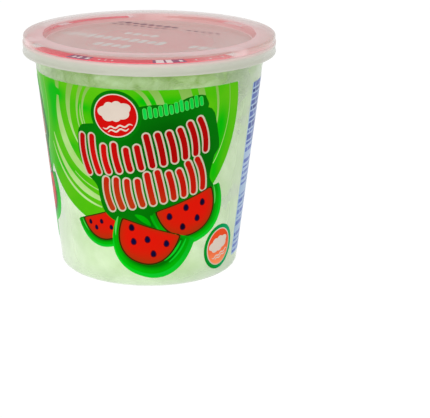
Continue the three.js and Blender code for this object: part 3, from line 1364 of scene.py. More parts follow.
    def _title_bar(
        self, ground: WallGround, colour: Ink, low: Array, high: Array, bow: float, lift: float
    ) -> None:
        """One bar of the title, over its cream outline.

        The first row's red is brighter towards the badge's left, and the second row's turns to rust
        towards its foot.

        Args:
            ground: The wall.
            colour: The bar's ink.
            low: Middle of its lower round end.
            high: Middle of its upper round end.
            bow: How far it bows to its left.
            lift: Height of the outline above the wall.
        """
        grow = (high - low) / np.linalg.norm(high - low)
        low, high = low - grow * self.bar_half, high + grow * self.bar_half
        rim = grow * self.outline
        outline = bar(ground, low - rim, high + rim, self.bar_half + self.outline, lift, bow)
        self.press.add(Ink.CREAM, outline, np.full(len(outline.points), 0.9))
        skin = bar(ground, low, high, self.bar_half, lift + INK_STEP, bow)
        flat = ground.flatten(skin.points)
        tone = spots(flat, ((-23.0, 6.0, 9.0, 14.0, 0.9), (-8.0, 8.0, 6.0, 8.0, 0.4)))
        if colour is Ink.RUST:
            tone = np.clip((-4.0 - flat[:, 1] - 0.25 * flat[:, 0]) / 12.0, 0.0, 1.0)
        self.press.add(colour, skin, tone)

    def _small_row(self, ground: WallGround, lift: float) -> None:
        """A short row of small bright bars along the plate.

        Args:
            ground: The wall, turned to the panel's bearing.
            lift: Height of its lowest ink above the wall.
        """
        for index in range(12):
            part = index / 11.0
            foot = np.array([-1.6 + 25.4 * part, 26.4 + 4.4 * part])
            top = foot + (4.9 + 0.7 * math.sin(index * 2.1)) * np.array([-0.14, 0.99])
            self.press.add(Ink.GLINT, bar(ground, foot - (0.0, 0.2), top + (0.0, 0.2), 0.94, lift))
            self.press.add(Ink.LIME, bar(ground, foot, top, 0.7, lift + INK_STEP))

    def _slices(self, ground: WallGround, lift: float) -> None:
        """The two half-moons of fruit in front of the badge, and blades between them.

        Args:
            ground: The wall, turned to the panel's bearing.
            lift: Height of its lowest ink above the wall.
        """
        RIGHT_SLICE.lay(self.press, ground, lift + 0.03)
        leaves = (
            ((-6.6, -19.2), (0.8, -24.6), 1.3),
            ((0.4, -19.4), (3.8, -26.4), 1.2),
            ((3.4, -19.0), (11.0, -30.0), 1.3),
        )
        for start, end, half in leaves:
            leaf = self._leaf(ground, start, end, half, lift + 0.02)
            self.press.add(Ink.RIND, leaf, np.full(len(leaf.points), 0.3))
        FRONT_SLICE.lay(self.press, ground, lift + 0.085)

    @staticmethod
    def _leaf(
        ground: WallGround, start: Sequence[float], end: Sequence[float], half: float, lift: float
    ) -> Shell:
        """A blade with pointed ends: its half-width is sin(pi t)^0.7 times half, and it bows a little.

        Args:
            ground: The wall.
            start: Its foot.
            end: Its tip.
            half: Half its greatest width.
            lift: Height above the wall.

        Returns:
            The blade's skin.
        """
        part = np.linspace(0.02, 0.98, 14)
        start, end = np.asarray(start, dtype=float), np.asarray(end, dtype=float)
        side = np.array([start[1] - end[1], end[0] - start[0]]) / np.linalg.norm(end - start)
        path = start + (end - start) * part[:, None] + side * 0.6 * np.sin(math.pi * part)[:, None]
        return stroke(ground, path, half * np.sin(math.pi * part) ** 0.7, lift)

    def _seal(self, ground: WallGround, lift: float) -> None:
        """The small roundel low on the right: green ring, cream ring, coral disc and a puff.

        Args:
            ground: The wall, turned to the panel's bearing.
            lift: Height of its lowest ink above the wall.
        """
        centre = (35.9, -41.5)
        local = directions(64)
        ovals = ((Ink.SEAL_RING, 9.4, 11.2), (Ink.CREAM, 7.7, 9.3), (Ink.CORAL, 7.2, 8.8))
        for layer, (colour, across, up) in enumerate(ovals):
            reach = 1.0 / np.hypot(np.cos(local) / across, np.sin(local) / up)
            skin = filled(ground, centre, reach, lift + layer * INK_STEP)
            flat = ground.flatten(skin.points)
            tone = (flat[:, 0] - 32.0) / 12.0 if colour is Ink.SEAL_RING else (-38.0 - flat[:, 1]) / 12.0
            self.press.add(colour, skin, np.clip(tone, 0.0, 1.0))
        self._puff(ground, centre, 0.88, lift + 3.0 * INK_STEP)

    def _column(self, ground: WallGround, half: float, lift: float) -> None:
        """A column of plain small bars: a pale ground, and rows of blue blocks of uneven length.

        Args:
            ground: The wall, turned to the column's bearing.
            half: Half the column's width.
            lift: Height of its ground above the wall.
        """
        rise = np.linspace(self.column_foot, self.column_head, 56)[:, None]
        spread = np.linspace(-half - 0.6, half + 0.6, 26) * (rise + ground.reach) / ground.reach
        flat = np.stack([spread, np.broadcast_to(rise, spread.shape)], axis=-1)
        self.press.add(Ink.GROUND, ribbon(ground, flat, lift))
        foot, row = self.column_foot + 0.8, 0
        while foot < self.column_head - 2.0:
            scale = (foot + ground.reach) / ground.reach
            dense = foot > 4.0
            tall = (2.0 if dense else 1.3) + 0.8 * math.sin(row * 2.9)
            depth = (0.6 + 0.4 * math.sin(row * 4.1)) * min(max(0.2 + 0.03 * foot, 0.12), 1.0)
            start, part = -half * scale, 0
            while start < (half - 3.0) * scale and row not in self.column_gaps:
                length = min(5.2 + 3.4 * math.sin(row * 1.7 + part * 2.3), half * scale - start)
                block = panel(ground, (start, foot), (start + length, foot + tall), lift + INK_STEP)
                self.press.add(Ink.BLUE, block, np.full(len(block.points), depth))
                start, part = start + length + 0.9, part + 1
            foot, row = foot + tall + (0.8 if dense else 1.5), row + 1


@dataclass
class CardPrint:
    """The print on the card disc and lid: patches on the border, pale bars inside, dark dashes on top."""

    sizes: PackSizes
    press: Press = field(default_factory=Press)
    border_inner: float = 50.9
    border_outer: float = 56.9
    slant: float = -31.0

    def build(self) -> None:
        """Lays the border's patches and the middle's bars, and makes the pieces."""
        border = CardGround(self.sizes.card_top)
        patches = (
            (Ink.PLUM, -130.0, -118.0, 0.0), (Ink.PLUM, -88.5, -73.4, 0.0), (Ink.CORAL, -26.0, 28.0, 0.0),
            (Ink.CORAL, 50.0, 87.0, 0.0), (Ink.WHITE, 88.0, 101.0, 0.4), (Ink.WHITE, 137.0, 145.0, 0.4),
            (Ink.WHITE, 31.0, 46.0, 0.4), (Ink.WHITE, -49.3, -43.4, 0.0), (Ink.WHITE, -164.0, -155.0, 0.6),
            (Ink.WHITE, -87.0, -83.4, 0.0), (Ink.WHITE, -82.4, -79.6, 0.0), (Ink.WHITE, -76.2, -74.6, 1.6),
            (Ink.WHITE, -127.6, -126.2, 1.6), (Ink.WHITE, -124.6, -123.2, 1.2),
            (Ink.WHITE, -120.4, -118.6, 1.6), (Ink.WHITE, -113.8, -113.2, 2.0),
            (Ink.WHITE, -110.6, -110.0, 2.0), (Ink.WHITE, -107.4, -106.8, 2.2),
            (Ink.WHITE, -68.4, -67.8, 2.0), (Ink.WHITE, -61.0, -60.4, 2.0), (Ink.WHITE, -54.2, -53.6, 2.0),
        )
        for colour, start, end, inset in patches:
            lift = 0.035 if colour is Ink.WHITE else 0.02
            self.press.add(colour, self._border_patch(border, start, end, inset, lift))
        middle = CardGround(self.sizes.dish_under + self.sizes.card)
        rows = (
            (-40.0, 22.4, 62.0, 4.2), (-23.4, -4.4, 19.4, 4.0),
            (-9.8, 20.4, 20.0, 2.8), (20.2, -12.6, 19.4, 3.6),
        )
        for across, up, length, half in rows:
            self._marks(middle, (across, up), length, half, Ink.WHITE, 4.8)
        self.press.pull("card", "printed_card")
        lid_panel = CardGround(self.sizes.height - self.sizes.panel_depth)
        dashes = (
            (-14.0, 45.6, 36.0, 2.0, 4.4, 0.4), (-17.0, 41.2, 32.0, 1.0, 4.0, 0.3),
            (19.0, 22.2, 19.6, 1.0, 3.9, 0.3),
        )
        for across, up, length, half, pitch, fill in dashes:
            self._marks(lid_panel, (across, up), length, half, Ink.SMUDGE, pitch, fill)
        self.press.pull("lid", "clear_plastic")

    def _marks(
        self,
        ground: CardGround,
        start: tuple[float, float],
        length: float,
        half: float,
        colour: Ink,
        pitch: float,
        fill: float = 0.38,
    ) -> None:
        """A row of plain upright bars, set along the print's own slant.

        Args:
            ground: The level face that they lie on.
            start: Middle of the first bar.
            length: Length of the row.
            half: Half the height of the tallest bar.
            colour: Their ink.
            pitch: Distance from bar to bar.
            fill: A bar's half-width as a share of the pitch.
        """
        slant = math.radians(self.slant)
        along = np.array([math.cos(slant), math.sin(slant)])
        across = np.array([-along[1], along[0]])
        for index in range(int(length / pitch)):
            middle = np.array(start) + along * pitch * index
            tall = across * half * (0.86 + 0.14 * math.sin(2.4 * index))
            self.press.add(colour, bar(ground, middle - tall, middle + tall, pitch * fill, 0.03))

    def _border_patch(self, ground: CardGround, start: float, end: float, inset: float, lift: float) -> Shell:
        """A patch of the border between two bearings, inset from its two edges.

        Args:
            ground: The card's upper face.
            start: Bearing of its first end, in degrees.
            end: Bearing of its last end.
            inset: How far it stays inside the border's edges.
            lift: Height above the card.

        Returns:
            The patch's skin.
        """
        bearing = np.radians(np.linspace(start, end, max(3, int(abs(end - start)) + 1)))[:, None]
        radius = np.linspace(self.border_inner + inset, self.border_outer - inset, 5)
        return ribbon(ground, np.stack([radius * np.cos(bearing), radius * np.sin(bearing)], axis=-1), lift)


# ---------------------------------------------------------------- the pack's own pieces


@dataclass(frozen=True)
class Tub:
    """The tapered tub with its raised base, foot ring and turned-down rim."""

    sizes: PackSizes
    sides: int = 224
    rim_inset: float = 2.9
    base_middle: float = 20.0

    def profile(self) -> Array:
        """Out under the base, up the wall, over the rim and down the inside.

        Returns:
            Radii and heights from axis to axis.
        """
        s = self.sizes
        lean = math.degrees(s.taper)
        corner = s.corner_radius
        foot = corner - s.foot_width
        half = s.base_lift / 2.0
        rim_under = s.rim_top - s.tub_wall
        wall_top = s.rim_radius - self.rim_inset
        lip, lip_end = s.rim_radius - s.tub_wall, s.rim_top - s.rim_drop
        levels = np.linspace(s.base_corner + 2.0, rim_under - 1.5, 40)
        outer = np.stack([s.wall_radius(levels), levels], axis=-1)
        inner = np.stack([s.wall_radius(levels[::-1]) - s.tub_wall, levels[::-1]], axis=-1)
        return np.vstack(
            [
                [[0.0, s.base_lift], [self.base_middle, s.base_lift], [foot - half - 0.4, s.base_lift]],
                [[foot - half, s.base_lift - 0.15], [foot - 0.1, 0.15], [foot + 0.2, 0.0]],
                arc((corner, s.base_corner), s.base_corner, -90.0, -lean, 8),
                outer,
                [[wall_top + s.tub_wall / 2.0, rim_under - 0.25], [wall_top + s.tub_wall, rim_under]],
                [[lip, rim_under], [lip, lip_end + 0.1], [lip + 0.1, lip_end]],
                [[s.rim_radius - 0.1, lip_end], [s.rim_radius, lip_end + 0.1]],
                arc((lip, s.rim_top - s.tub_wall), s.tub_wall, 0.0, 90.0, 6),
                arc((wall_top, s.rim_top - s.tub_wall), s.tub_wall, 90.0, 180.0 - lean, 4),
                inner,
                arc((corner, s.base_corner), s.base_corner - s.tub_wall, -lean, -90.0, 6),
                [[foot + 0.4, s.tub_wall], [foot - half + 0.35, s.base_lift + s.tub_wall]],
                [[self.base_middle, s.base_lift + s.tub_wall], [0.0, s.base_lift + s.tub_wall]],
            ]
        )

    def build(self) -> bpy.types.Object:
        """Makes the tub.

        Returns:
            The tub's piece.
        """
        shell = turned(self.profile(), self.sides)
        piece = make_piece("tub_shell", shell, TUB_PLASTIC.build())
        milk, tone = self._clouding(shell.points)
        set_attribute(piece, "milk", milk)
        set_attribute(piece, "tone", tone)
        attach(piece, BODY)
        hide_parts("tub")
        return piece

    def _clouding(self, points: Array) -> tuple[Array, Array]:
        """How milky the tub is at each point, and its painted shade: how far it takes a grey green towards
        the lid and on the right.

        It is milky at the rim and at the foot, under a haze on the right, and low on the left.

        Args:
            points: The tub's points.

        Returns:
            The milk and the painted shade, 0 to 1.
        """
        level = points[:, 2]
        turn = np.degrees(np.arctan2(points[:, 0], -points[:, 1]))
        rim = np.clip((level - self.sizes.rim_top + 4.0) / 2.0, 0.0, 1.0)
        foot = np.clip(1.0 - level / 10.0, 0.0, 1.0) ** 1.4 * (0.65 + 0.35 * between(turn, 24.0, 84.0, 20.0))
        low_left = between(turn, -90.0, -52.0, 24.0) * np.clip((60.0 - level) / 30.0, 0.0, 1.0)
        # A haze on the right: milkier there, and it also carries painted shade into the tone.
        right_haze_and_shade = between(turn, 42.0, 88.0, 28.0)
        milk = rim + foot + 0.26 * right_haze_and_shade + 0.3 * low_left
        high = np.clip(level / self.sizes.rim_top, 0.0, 1.0)
        # Painted shade: the plastic takes a grey green towards the lid and on the right.
        tone = 0.8 * high**3 * (1.0 - 0.6 * right_haze_and_shade) + 0.16 * right_haze_and_shade
        return np.clip(milk, 0.0, 1.0), np.clip(tone, 0.0, 1.0)


@dataclass(frozen=True)
class Lid:
    """The press-on lid: sunk panel, stacking ring, ledge and skirt with its snap bead."""

    sizes: PackSizes
    sides: int = 224
    ring_radius: float = 58.2
    ring_width: float = 7.8
    ring_height: float = 2.8
    ring_corner: float = 0.8
    panel_middle: float = 24.0
    panel_radius: float = 47.9
    ledge: float = 0.5
    notch: float = 0.2
    snap_bead: float = 0.9

    def profile(self) -> Array:
        """Out under the panel, down inside the skirt, up outside it and back over the top.

        Returns:
            Radii and heights from axis to axis.
        """
        s = self.sizes
        sheet = s.lid_sheet
        top = s.height
        panel, centre = top - s.panel_depth, self.panel_middle
        ring_inner = self.ring_radius - self.ring_corner - self.ring_width
        inside = self.ring_radius - self.notch - sheet
        skirt = s.lid_radius - sheet
        ledge_top = top - self.ring_height
        skirt_top = ledge_top - self.ledge
        bead = s.rim_top - s.rim_drop - self.snap_bead - s.gap
        lip, shoulder, waist = s.skirt_bottom + 0.3, skirt_top - 1.5, s.lid_radius - 0.18
        corner = self.ring_radius - self.ring_corner
        inner_foot, inner_top = [self.panel_radius + 0.95, panel - 0.1], [ring_inner + 0.2, top - sheet - 0.4]
        slope_foot = [self.panel_radius + 0.35, panel + 0.35]
        slope_top = [ring_inner - 0.97 * sheet, top - 0.74 * sheet]
        return np.vstack(
            [
                [[0.0, panel - sheet], [centre, panel - sheet], [self.panel_radius + 0.2, panel - sheet]],
                np.linspace(inner_foot, inner_top, 9),
                [[ring_inner + 0.6, top - sheet]],
                arc((inside - 0.6, top - sheet - 0.6), 0.6, 90.0, 0.0, 5),
                [[inside, ledge_top + 0.1], [inside + 0.1, ledge_top - 0.2], [skirt, skirt_top - sheet]],
                [[skirt, bead + self.snap_bead]],
                arc((skirt - self.snap_bead + 0.3, bead), 0.3, 90.0, 270.0, 6),
                [[skirt, bead - self.snap_bead], [skirt, lip]],
                arc((skirt + 0.3, lip), 0.3, 180.0, 360.0, 8),
                [[s.lid_radius, lip + 0.6], [waist, lip + 1.0], [waist, shoulder - 0.2]],
                [[s.lid_radius, shoulder + 0.1], [s.lid_radius, skirt_top - 0.6]],
                arc((s.lid_radius - 0.4, skirt_top - 0.2), 0.4, 0.0, 70.0, 4),
                [[self.ring_radius - self.notch, ledge_top + 0.05], [self.ring_radius, ledge_top + 0.45]],
                arc((corner, top - self.ring_corner), self.ring_corner, 0.0, 90.0, 7),
                arc((ring_inner, top - sheet), sheet, 90.0, 165.0, 6),
                np.linspace(slope_top, slope_foot, 10)[1:],
                [[self.panel_radius + 0.1, panel + 0.06]],
                [[self.panel_radius - 0.3, panel], [centre, panel], [0.0, panel]],
            ]
        )

    def build(self) -> bpy.types.Object:
        """Makes the lid.

        Returns:
            The lid's piece.
        """
        shell = turned(self.profile(), self.sides)
        piece = make_piece("lid_shell", shell, LID_PLASTIC.build())
        milk, tone = self._clouding(shell.points)
        set_attribute(piece, "milk", milk)
        set_attribute(piece, "tone", tone)
        piece.visible_shadow = False
        piece.visible_diffuse = False
        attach(piece, BODY)
        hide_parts("lid")
        return piece

    def _clouding(self, points: Array) -> tuple[Array, Array]:
        """How milky the lid is at each point, and how far it takes a rosy tint: a painted glow of the card
        below it, painted glints, and a painted highlight along the ledge.

        The skirt and the ring's top are the milkiest. The ring's two sloping faces are clear only
        between some bearings, where the card's border glows through.

        Args:
            points: The lid's points.

        Returns:
            The milk and the painted tint, 0 to 1.
        """
        down = self.sizes.height - points[:, 2]
        radius = np.hypot(points[:, 0], points[:, 1])
        turn = np.degrees(np.arctan2(points[:, 1], points[:, 0]))
        facing = 0.5 - 0.5 * np.sin(np.radians(turn))

        # Where a point lies: on the skirt, the ring's top, its slope to the panel or its outer face.
        skirt = np.clip((down - self.ring_height) / 0.3, 0.0, 1.0) * (radius > self.panel_radius + 5.0)
        inset = 0.3 + 1.0 * between(turn, -116.0, -78.0, 16.0)
        top = np.clip((0.75 - down) / 0.5, 0.0, 1.0) * (radius > self.panel_radius)
        top = top * np.clip((self.ring_radius - inset - radius) / 0.5, 0.0, 1.0)
        slope = (radius > self.panel_radius + 0.05) * (radius < self.panel_radius + 3.0)
        outer = (radius > self.ring_radius - 1.2) * (down < self.ring_height)
        # The ledge's band, which gets a painted highlight in the tint.
        ledge = between(down, self.ring_height - 0.2, self.ring_height + 1.1, 0.3)
        ledge = ledge * (radius > self.ring_radius - 2.0)

        # How milky each of them is, by bearing.
        rear = between(turn, 98.0, 171.0, 5.0) + between(turn, 24.0, 81.0, 5.0)
        clear = rear * between(down, 0.9, 2.3, 0.35) * np.where(turn > 90.0, 0.7, 0.5)
        veiled = 0.52 * (between(turn, -46.0, 24.0, 7.0) + between(np.abs(turn), 152.0, 190.0, 5.0))
        veiled = veiled + 0.2 * between(turn, -70.0, -46.0, 12.0) + 0.05
        # Painted white glints on the ring, in both the milk and the tint.
        glare = between(turn, -51.0, -43.0, 3.0) + between(turn, -166.0, -157.0, 3.0)
        glare = 0.5 * glare * (radius > 52.0)
        thick = 0.26 + 0.34 * facing - 0.12 * between(np.abs(turn), 168.0, 200.0, 8.0)
        thick = thick + 0.1 * between(turn, 80.0, 98.0, 8.0) + 0.1 * between(turn, -30.0, 6.0, 8.0)
        milk = (
            0.77 * skirt
            + thick * top
            + slope * (1.0 - clear) * (1.0 - top)
            + veiled * outer * (1.0 - top)
            + glare * (1.0 - skirt)
        )
        # Painted glow: the plastic takes the card's red where it shows through, most at the front, plus the
        # painted glints.
        card_glow_and_glint = 0.08 + (0.15 + 0.65 * facing) * np.maximum(top, veiled * outer) + 0.6 * slope + glare
        return np.clip(milk, 0.0, 1.0), np.clip((1.0 - skirt) * card_glow_and_glint + 0.75 * ledge, 0.0, 1.0)


@dataclass(frozen=True)
class CardDisc:
    """The printed card: a level border on the rim, and a middle pressed down under the lid."""

    sizes: PackSizes
    sides: int = 192
    border: float = 50.6
    dish: float = 48.3
    middle: float = 24.0

    def profile(self) -> Array:
        """Out under the disc, round its cut edge, and back over the top.

        Returns:
            Radii and heights from axis to axis.
        """
        s = self.sizes
        low, high = s.dish_under, s.card_top
        return np.array(
            [
                [0.0, low], [self.middle, low], [self.dish - 0.3, low], [self.dish + 0.3, low + 0.2],
                [self.border - 0.3, high - s.card - 0.2], [self.border + 0.3, high - s.card],
                [s.card_radius, high - s.card], [s.card_radius, high],
                [self.border, high], [self.border - 0.5, high - 0.18],
                [self.dish, low + s.card + 0.18], [self.dish - 0.5, low + s.card],
                [self.middle, low + s.card], [0.0, low + s.card],
            ]
        )

    def build(self) -> bpy.types.Object:
        """Makes the card.

        Returns:
            The card's piece.
        """
        piece = make_piece("card_sheet", turned(self.profile(), self.sides), CARD.build())
        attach(piece, BODY)
        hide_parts("card_disc")
        return piece


@dataclass
class SpunSugar:
    """The wad of spun sugar: a folded skin pressed against the wall, with loose strands on it."""

    sizes: PackSizes
    sides: int = 512
    rows: int = 190
    fold_depth: float = 1.2
    fibre_depth: float = 0.14
    into_wall: float = 0.4
    coarse_rows: int = 64
    cap_rows: int = 16
    strand_count: int = 800
    seed: int = 7

    def _relief(self, rng: np.random.Generator, up: float, across: float, shear: float) -> Array:
        """Smooth random relief from 0 to 1 that wraps round the tub without a seam.

        White noise is kept only below two frequencies: its Fourier transform is multiplied by
        exp(-(up fz)^2 - (across (fa + shear fz))^2), which also leans the grain by shear.

        Args:
            rng: Source of the noise.
            up: How coarse it is upwards, in rows.
            across: How coarse it is round the tub, in sides.
            shear: How far it leans.

        Returns:
            The relief as (row, place round the axis).
        """
        shape = (self.rows, self.sides)
        vertical = np.fft.fftfreq(shape[0])[:, None]
        around = np.fft.fftfreq(shape[1])[None, :] + shear * vertical
        cut = np.exp(-((up * vertical) ** 2) - (across * around) ** 2)
        smooth = np.fft.ifft2(np.fft.fft2(rng.standard_normal(shape)) * cut).real
        low, high = np.percentile(smooth, [2.0, 98.0])
        return np.clip((smooth - low) / (high - low), 0.0, 1.0)

    def _loops(self, radii: Array, heights: Array) -> Array:
        """Rows of points round the axis.

        Args:
            radii: A radius for each row, or for each point of each row.
            heights: The rows' heights.

        Returns:
            Points as (row, place round the axis, xyz).
        """
        angle = directions(self.sides)
        circle = np.stack([np.sin(angle), -np.cos(angle)], axis=-1)
        radii = np.broadcast_to(radii.reshape(len(heights), -1), (len(heights), self.sides))
        level = np.broadcast_to(heights[:, None], radii.shape)
        return np.concatenate([radii[..., None] * circle, level[..., None]], axis=-1)

    def _floor(self) -> Array:
        """Radii and heights of the wad's underside, over the raised base and round the corner."""
        s = self.sizes
        under = s.base_lift + s.tub_wall - self.into_wall
        foot = s.corner_radius - s.foot_width
        inside = s.base_corner - s.tub_wall + self.into_wall
        bend = arc((s.corner_radius, s.base_corner), inside, -90.0, -10.0, 6)
        level = [[0.2 * foot, under], [0.6 * foot, under], [foot - 0.6, under], [foot + 0.4, bend[0, 1]]]
        return np.vstack([level, bend])

    def _skin(self, rng: np.random.Generator) -> tuple[Shell, Array]:
        """The wad's closed skin, and its points' tone, which holds painted shade in the folds and creases and
        towards the lid.

        Against the wall its radius is the tub's inner radius less the depth of its folds, creases
        and fibres, which deepen upwards. Every second row is left out low down, where it is smooth.

        Args:
            rng: Source of the relief.

        Returns:
            The skin and its points' tones.
        """
        s = self.sizes
        part = np.linspace(0.0, 1.0, self.rows)
        lift = part[:, None]
        height = s.base_corner + (s.sugar_top - s.base_corner) * part
        wads, tufts = self._relief(rng, 26.0, 60.0, 0.3), self._relief(rng, 9.0, 16.0, -0.6)
        fibres = self._relief(rng, 2.2, 22.0, 0.8) * 0.5 + self._relief(rng, 6.0, 3.0, -0.5) * 0.5
        fold = np.clip(1.3 * (1.0 - wads) ** 1.5 + 0.5 * (1.0 - tufts) ** 2 - 0.2, 0.0, 1.0)
        clumps = self._relief(rng, 12.0, 12.0, 0.2)
        crease = np.exp(-(((clumps - 0.42) / 0.05) ** 2)) * (1.0 - fibres)
        depth = (0.25 + 0.75 * lift**2) * self.fold_depth * np.maximum(fold, 0.5 * crease)
        depth = depth + self.fibre_depth * fibres
        top_edge = 1.4 * np.clip((part - 0.985) / 0.015, 0.0, 1.0) ** 2
        wall = s.wall_radius(height) - s.tub_wall + self.into_wall - top_edge
        radius = wall[:, None] - depth * np.clip(lift / 0.03, 0.0, 1.0)

        floor = self._floor()
        inward = np.linspace(0.97, 0.05, self.cap_rows)[:, None]
        cap = self._loops(radius[-1:] * inward, np.full(self.cap_rows, s.sugar_top))
        cap[..., 2] -= 0.8 * np.sin(inward * 19.0) ** 2
        kept = np.concatenate([np.arange(0, self.coarse_rows, 2), np.arange(self.coarse_rows, self.rows)])
        beside = self._loops(radius[kept], height[kept])
        rows = np.concatenate([self._loops(floor[:, 0], floor[:, 1]), beside, cap])
        poles = np.array([[0.0, 0.0, floor[0, 1]], [0.0, 0.0, s.sugar_top - 0.4]])

        # Painted shade deepens the tone in the folds and creases, and towards the lid along with the sugar's
        # denser green; the fibres and clumps vary it at random.
        shade = (
            self._tone_and_lid_shade(lift)
            + (0.2 + 0.3 * lift**2) * (fold - 0.4)
            + 0.2 * (fibres - 0.5) * lift
            + (0.06 + 0.4 * lift**4) * (crease + 0.5 * (0.5 - clumps))
        )
        tone = np.clip(shade + self._patches(height), 0.0, 1.0)[kept]
        ends = np.repeat(tone[:1], len(floor), axis=0), np.repeat(tone[-1:], self.cap_rows, axis=0)
        tone = np.concatenate([ends[0], tone, ends[1]])
        return rolled(rows, poles), np.concatenate([tone.ravel(), tone[[0, -1]].mean(axis=1)])

    def _patches(self, height: Array) -> Array:
        """What a few soft patches under the lid, and painted shade on the right-hand side, add to the tone.

        Each patch has a bearing in degrees, a height, how wide and tall it is, and a strength.

        Args:
            height: Heights of the skin's rows.

        Returns:
            The added tone as (row, place round the axis).
        """
        patches = (
            (-50.0, 96.4, 4.0, 3.0, -0.24), (-46.6, 96.6, 0.9, 6.0, 0.4), (-38.0, 97.0, 7.0, 3.0, -0.14),
            (-28.0, 99.8, 4.0, 1.2, 0.22), (-24.0, 98.9, 3.6, 1.5, -0.34), (-18.0, 97.2, 7.0, 2.6, -0.58),
            (-9.0, 97.4, 4.0, 2.0, -0.2), (-6.4, 95.6, 1.8, 1.8, 0.36), (-3.0, 101.0, 5.0, 0.7, 0.2),
            (4.0, 100.3, 6.0, 1.2, 0.16), (3.0, 97.0, 5.0, 1.6, -0.22), (12.0, 99.6, 4.0, 2.2, 0.3),
            (23.0, 96.6, 2.6, 2.0, 0.3), (28.0, 98.6, 4.0, 3.0, 0.2), (34.6, 98.2, 1.1, 4.0, -0.2),
            (42.0, 97.6, 5.0, 3.2, 0.2), (-30.4, 97.0, 0.9, 2.2, 0.2), (18.0, 101.0, 7.0, 0.8, 0.2),
        )
        turn = np.mod(directions(self.sides) + math.pi, TAU) - math.pi
        # Painted shade: a deeper tone on the right-hand side.
        tone = np.tile(0.12 * between(turn, 0.7, 2.2, 0.8), (len(height), 1))
        for bearing, level, wide, tall, strength in patches:
            away = (turn - math.radians(bearing)) / math.radians(wide)
            tone += strength * np.exp(-(away**2) - ((height[:, None] - level) / tall) ** 2)
        return tone

    @staticmethod
    def _tone_and_lid_shade(part: Array) -> Array:
        """The sugar's tone up the tub: pale low down, deeper towards the lid, partly its own denser green and
        partly painted shade under the lid.
        """
        return 0.1 + 0.69 * part**3.4

    def _strands(self, rng: np.random.Generator) -> Shell:
        """Loose strands: flat tapering ribbons that wander over the skin just inside the wall.

        Args:
            rng: Source of their places and shapes.

        Returns:
            All the strands as one shell.
        """
        s = self.sizes
        part = np.linspace(0.0, 1.0, 26)
        loop = np.array([[-1.0, 0.0], [0.0, 1.0], [1.0, 0.0], [0.0, -1.0]])
        shells = []
        for _ in range(self.strand_count):
            turn, height = rng.uniform(0.0, TAU), s.sugar_top * math.sqrt(rng.uniform(0.15, 0.96))
            length, lean = rng.uniform(12.0, 38.0), rng.uniform(-0.9, 0.9)
            bend, phase = rng.uniform(-0.6, 0.6), rng.uniform(0.0, TAU)
            heading = lean + bend * (part - 0.5) + 0.16 * np.sin(part * 9.0 + phase)
            run = np.cumsum(np.stack([np.cos(heading), np.sin(heading)], axis=-1), axis=0)
            run = run * length / len(part)
            level = np.clip(height + run[:, 1], 3.5, s.sugar_top - 1.0)
            depth = -0.04 + 0.4 * (0.5 + 0.5 * np.sin(part * 7.0 + phase * 2.0))
            radius = s.wall_radius(level) - s.tub_wall + self.into_wall - depth
            angle = turn + run[:, 0] / radius
            half = rng.uniform(0.02, 0.05) * np.sin(np.linspace(0.06, 0.94, len(part)) * math.pi)
            side = np.stack([-np.sin(heading), np.cos(heading)], axis=-1) * half[:, None]
            around = angle[:, None] + loop[:, 0] * side[:, :1] / radius[:, None]
            upward = level[:, None] + loop[:, 0] * side[:, 1:]
            outward = radius[:, None] + loop[:, 1] * half[:, None] * 0.5
            rows = np.stack([outward * np.sin(around), -outward * np.cos(around), upward], axis=-1)
            shells.append(rolled(rows, rows[[0, -1]].mean(axis=1)))
        return joined(shells)

    def build(self) -> None:
        """Makes the skin and its strands."""
        rng = np.random.default_rng(self.seed)
        shell, tone = self._skin(rng)
        skin = make_piece("sugar_wad", shell, SPUN_SUGAR.build(), crease=180.0)
        set_attribute(skin, "tone", tone)
        loose = self._strands(rng)
        strands = make_piece("sugar_strands", loose, STRAND.build(), crease=180.0)
        level = np.clip(loose.points[:, 2] / self.sizes.sugar_top, 0.0, 1.0)
        # Painted shade: the strands deepen towards the lid like the skin, partly their own deeper green.
        set_attribute(strands, "tone", self._tone_and_lid_shade(level))
        for piece in (skin, strands):
            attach(piece, BODY)
        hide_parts("candy")


# ---------------------------------------------------------------- the studio


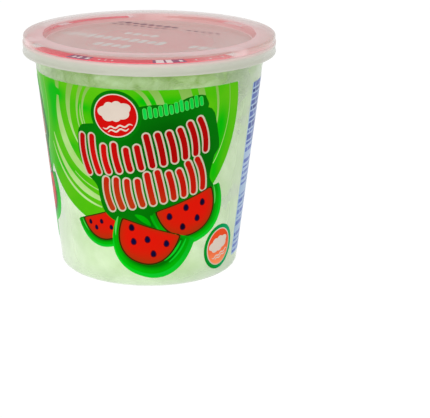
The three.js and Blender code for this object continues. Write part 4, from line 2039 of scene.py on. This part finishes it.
@dataclass(frozen=True)
class Studio:
    """A glowing white floor and an even sky, dimmer overhead, a soft front lamp, and the camera."""

    aim_height: float = 55.0
    distance: float = 670.0
    elevation: float = 15.457
    focal: float = 118.7
    sensor: float = 36.0
    shift: tuple[float, float] = (0.1529, -0.1459)
    floor_glow: float = 0.95
    horizon: float = 0.92
    zenith: float = 0.7
    lamp_place: tuple[float, float, float] = (-0.35, -1.2, 0.25)
    lamp_size: float = 0.9
    lamp_power: float = 5.0

    def build(self) -> None:
        """Sets up camera, floor, sky and lamp."""
        self._camera()
        self._floor()
        self._sky()
        self._lamp()
        scene = bpy.context.scene
        scene.view_settings.view_transform = "Standard"
        scene.cycles.transparent_max_bounces = 32

    def _camera(self) -> None:
        """Places the camera in front, above and looking down at the middle of the tub."""
        data = bpy.data.cameras.new("camera")
        data.lens = self.focal
        data.sensor_width = self.sensor
        data.shift_x, data.shift_y = self.shift
        camera = bpy.data.objects.new("camera", data)
        lift = math.radians(self.elevation)
        away = self.distance * MM
        camera.location = (0.0, -away * math.cos(lift), self.aim_height * MM + away * math.sin(lift))
        camera.rotation_euler = (math.pi / 2.0 - lift, 0.0, 0.0)
        bpy.context.scene.collection.objects.link(camera)
        bpy.context.scene.camera = camera

    def _floor(self) -> None:
        """A wide disc just under the tub's foot that glows white, so that it holds no shadow."""
        profile = np.array([[0.0, -4.0], [6000.0, -4.0], [6000.0, -0.02], [0.0, -0.02]])
        white = Finish(
            "studio_white",
            paint(90, 90, 90),
            paint(86, 86, 86),
            mottle_scale=3.0,
            rough_low=0.7,
            rough_high=0.8,
            shine=0.0,
            glow=self.floor_glow,
        )
        make_piece("studio_floor", turned(profile, 64), white.build())

    def _sky(self) -> None:
        """White where the camera looks at it; as light it is brighter low down than overhead."""
        world = bpy.data.worlds.new("studio_sky")
        world.use_nodes = True
        nodes, links = world.node_tree.nodes, world.node_tree.links
        ray = nodes.new("ShaderNodeLightPath")
        view = nodes.new("ShaderNodeNewGeometry")
        split = nodes.new("ShaderNodeSeparateXYZ")
        level = nodes.new("ShaderNodeMapRange")
        set_inputs(level, {"From Max": -1.0, "To Min": self.horizon, "To Max": self.zenith})
        pick = nodes.new("ShaderNodeMix")
        pick.inputs["B"].default_value = 1.0
        sky = nodes["Background"]
        sky.inputs["Color"].default_value = (1.0, 1.0, 1.0, 1.0)
        links.new(view.outputs["Incoming"], split.inputs["Vector"])
        links.new(split.outputs["Z"], level.inputs["Value"])
        links.new(ray.outputs["Is Camera Ray"], pick.inputs["Factor"])
        links.new(level.outputs["Result"], pick.inputs["A"])
        links.new(pick.outputs["Result"], sky.inputs["Strength"])
        bpy.context.scene.world = world

    def _lamp(self) -> None:
        """A square soft lamp in front, placed in metres and aimed at the tub."""
        data = bpy.data.lights.new("front", "AREA")
        data.size = self.lamp_size
        data.energy = self.lamp_power
        lamp = bpy.data.objects.new("front", data)
        lamp.location = self.lamp_place
        aim = np.array([0.0, 0.0, self.aim_height * MM]) - np.array(self.lamp_place)
        tip = math.atan2(math.hypot(aim[0], aim[1]), -aim[2])
        lamp.rotation_euler = (tip, 0.0, math.atan2(-aim[0], aim[1]))
        bpy.context.scene.collection.objects.link(lamp)


def main() -> None:
    """Builds the pack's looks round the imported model, and the studio that shows it."""
    logging.basicConfig(level=logging.INFO, format="%(name)s %(message)s")
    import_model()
    sizes = PackSizes.from_frame()
    Studio().build()
    SpunSugar(sizes).build()
    CardDisc(sizes).build()
    CardPrint(sizes).build()
    Tub(sizes).build()
    WallPrint(sizes).build()
    Lid(sizes).build()


if __name__ == "__main__":
    main()
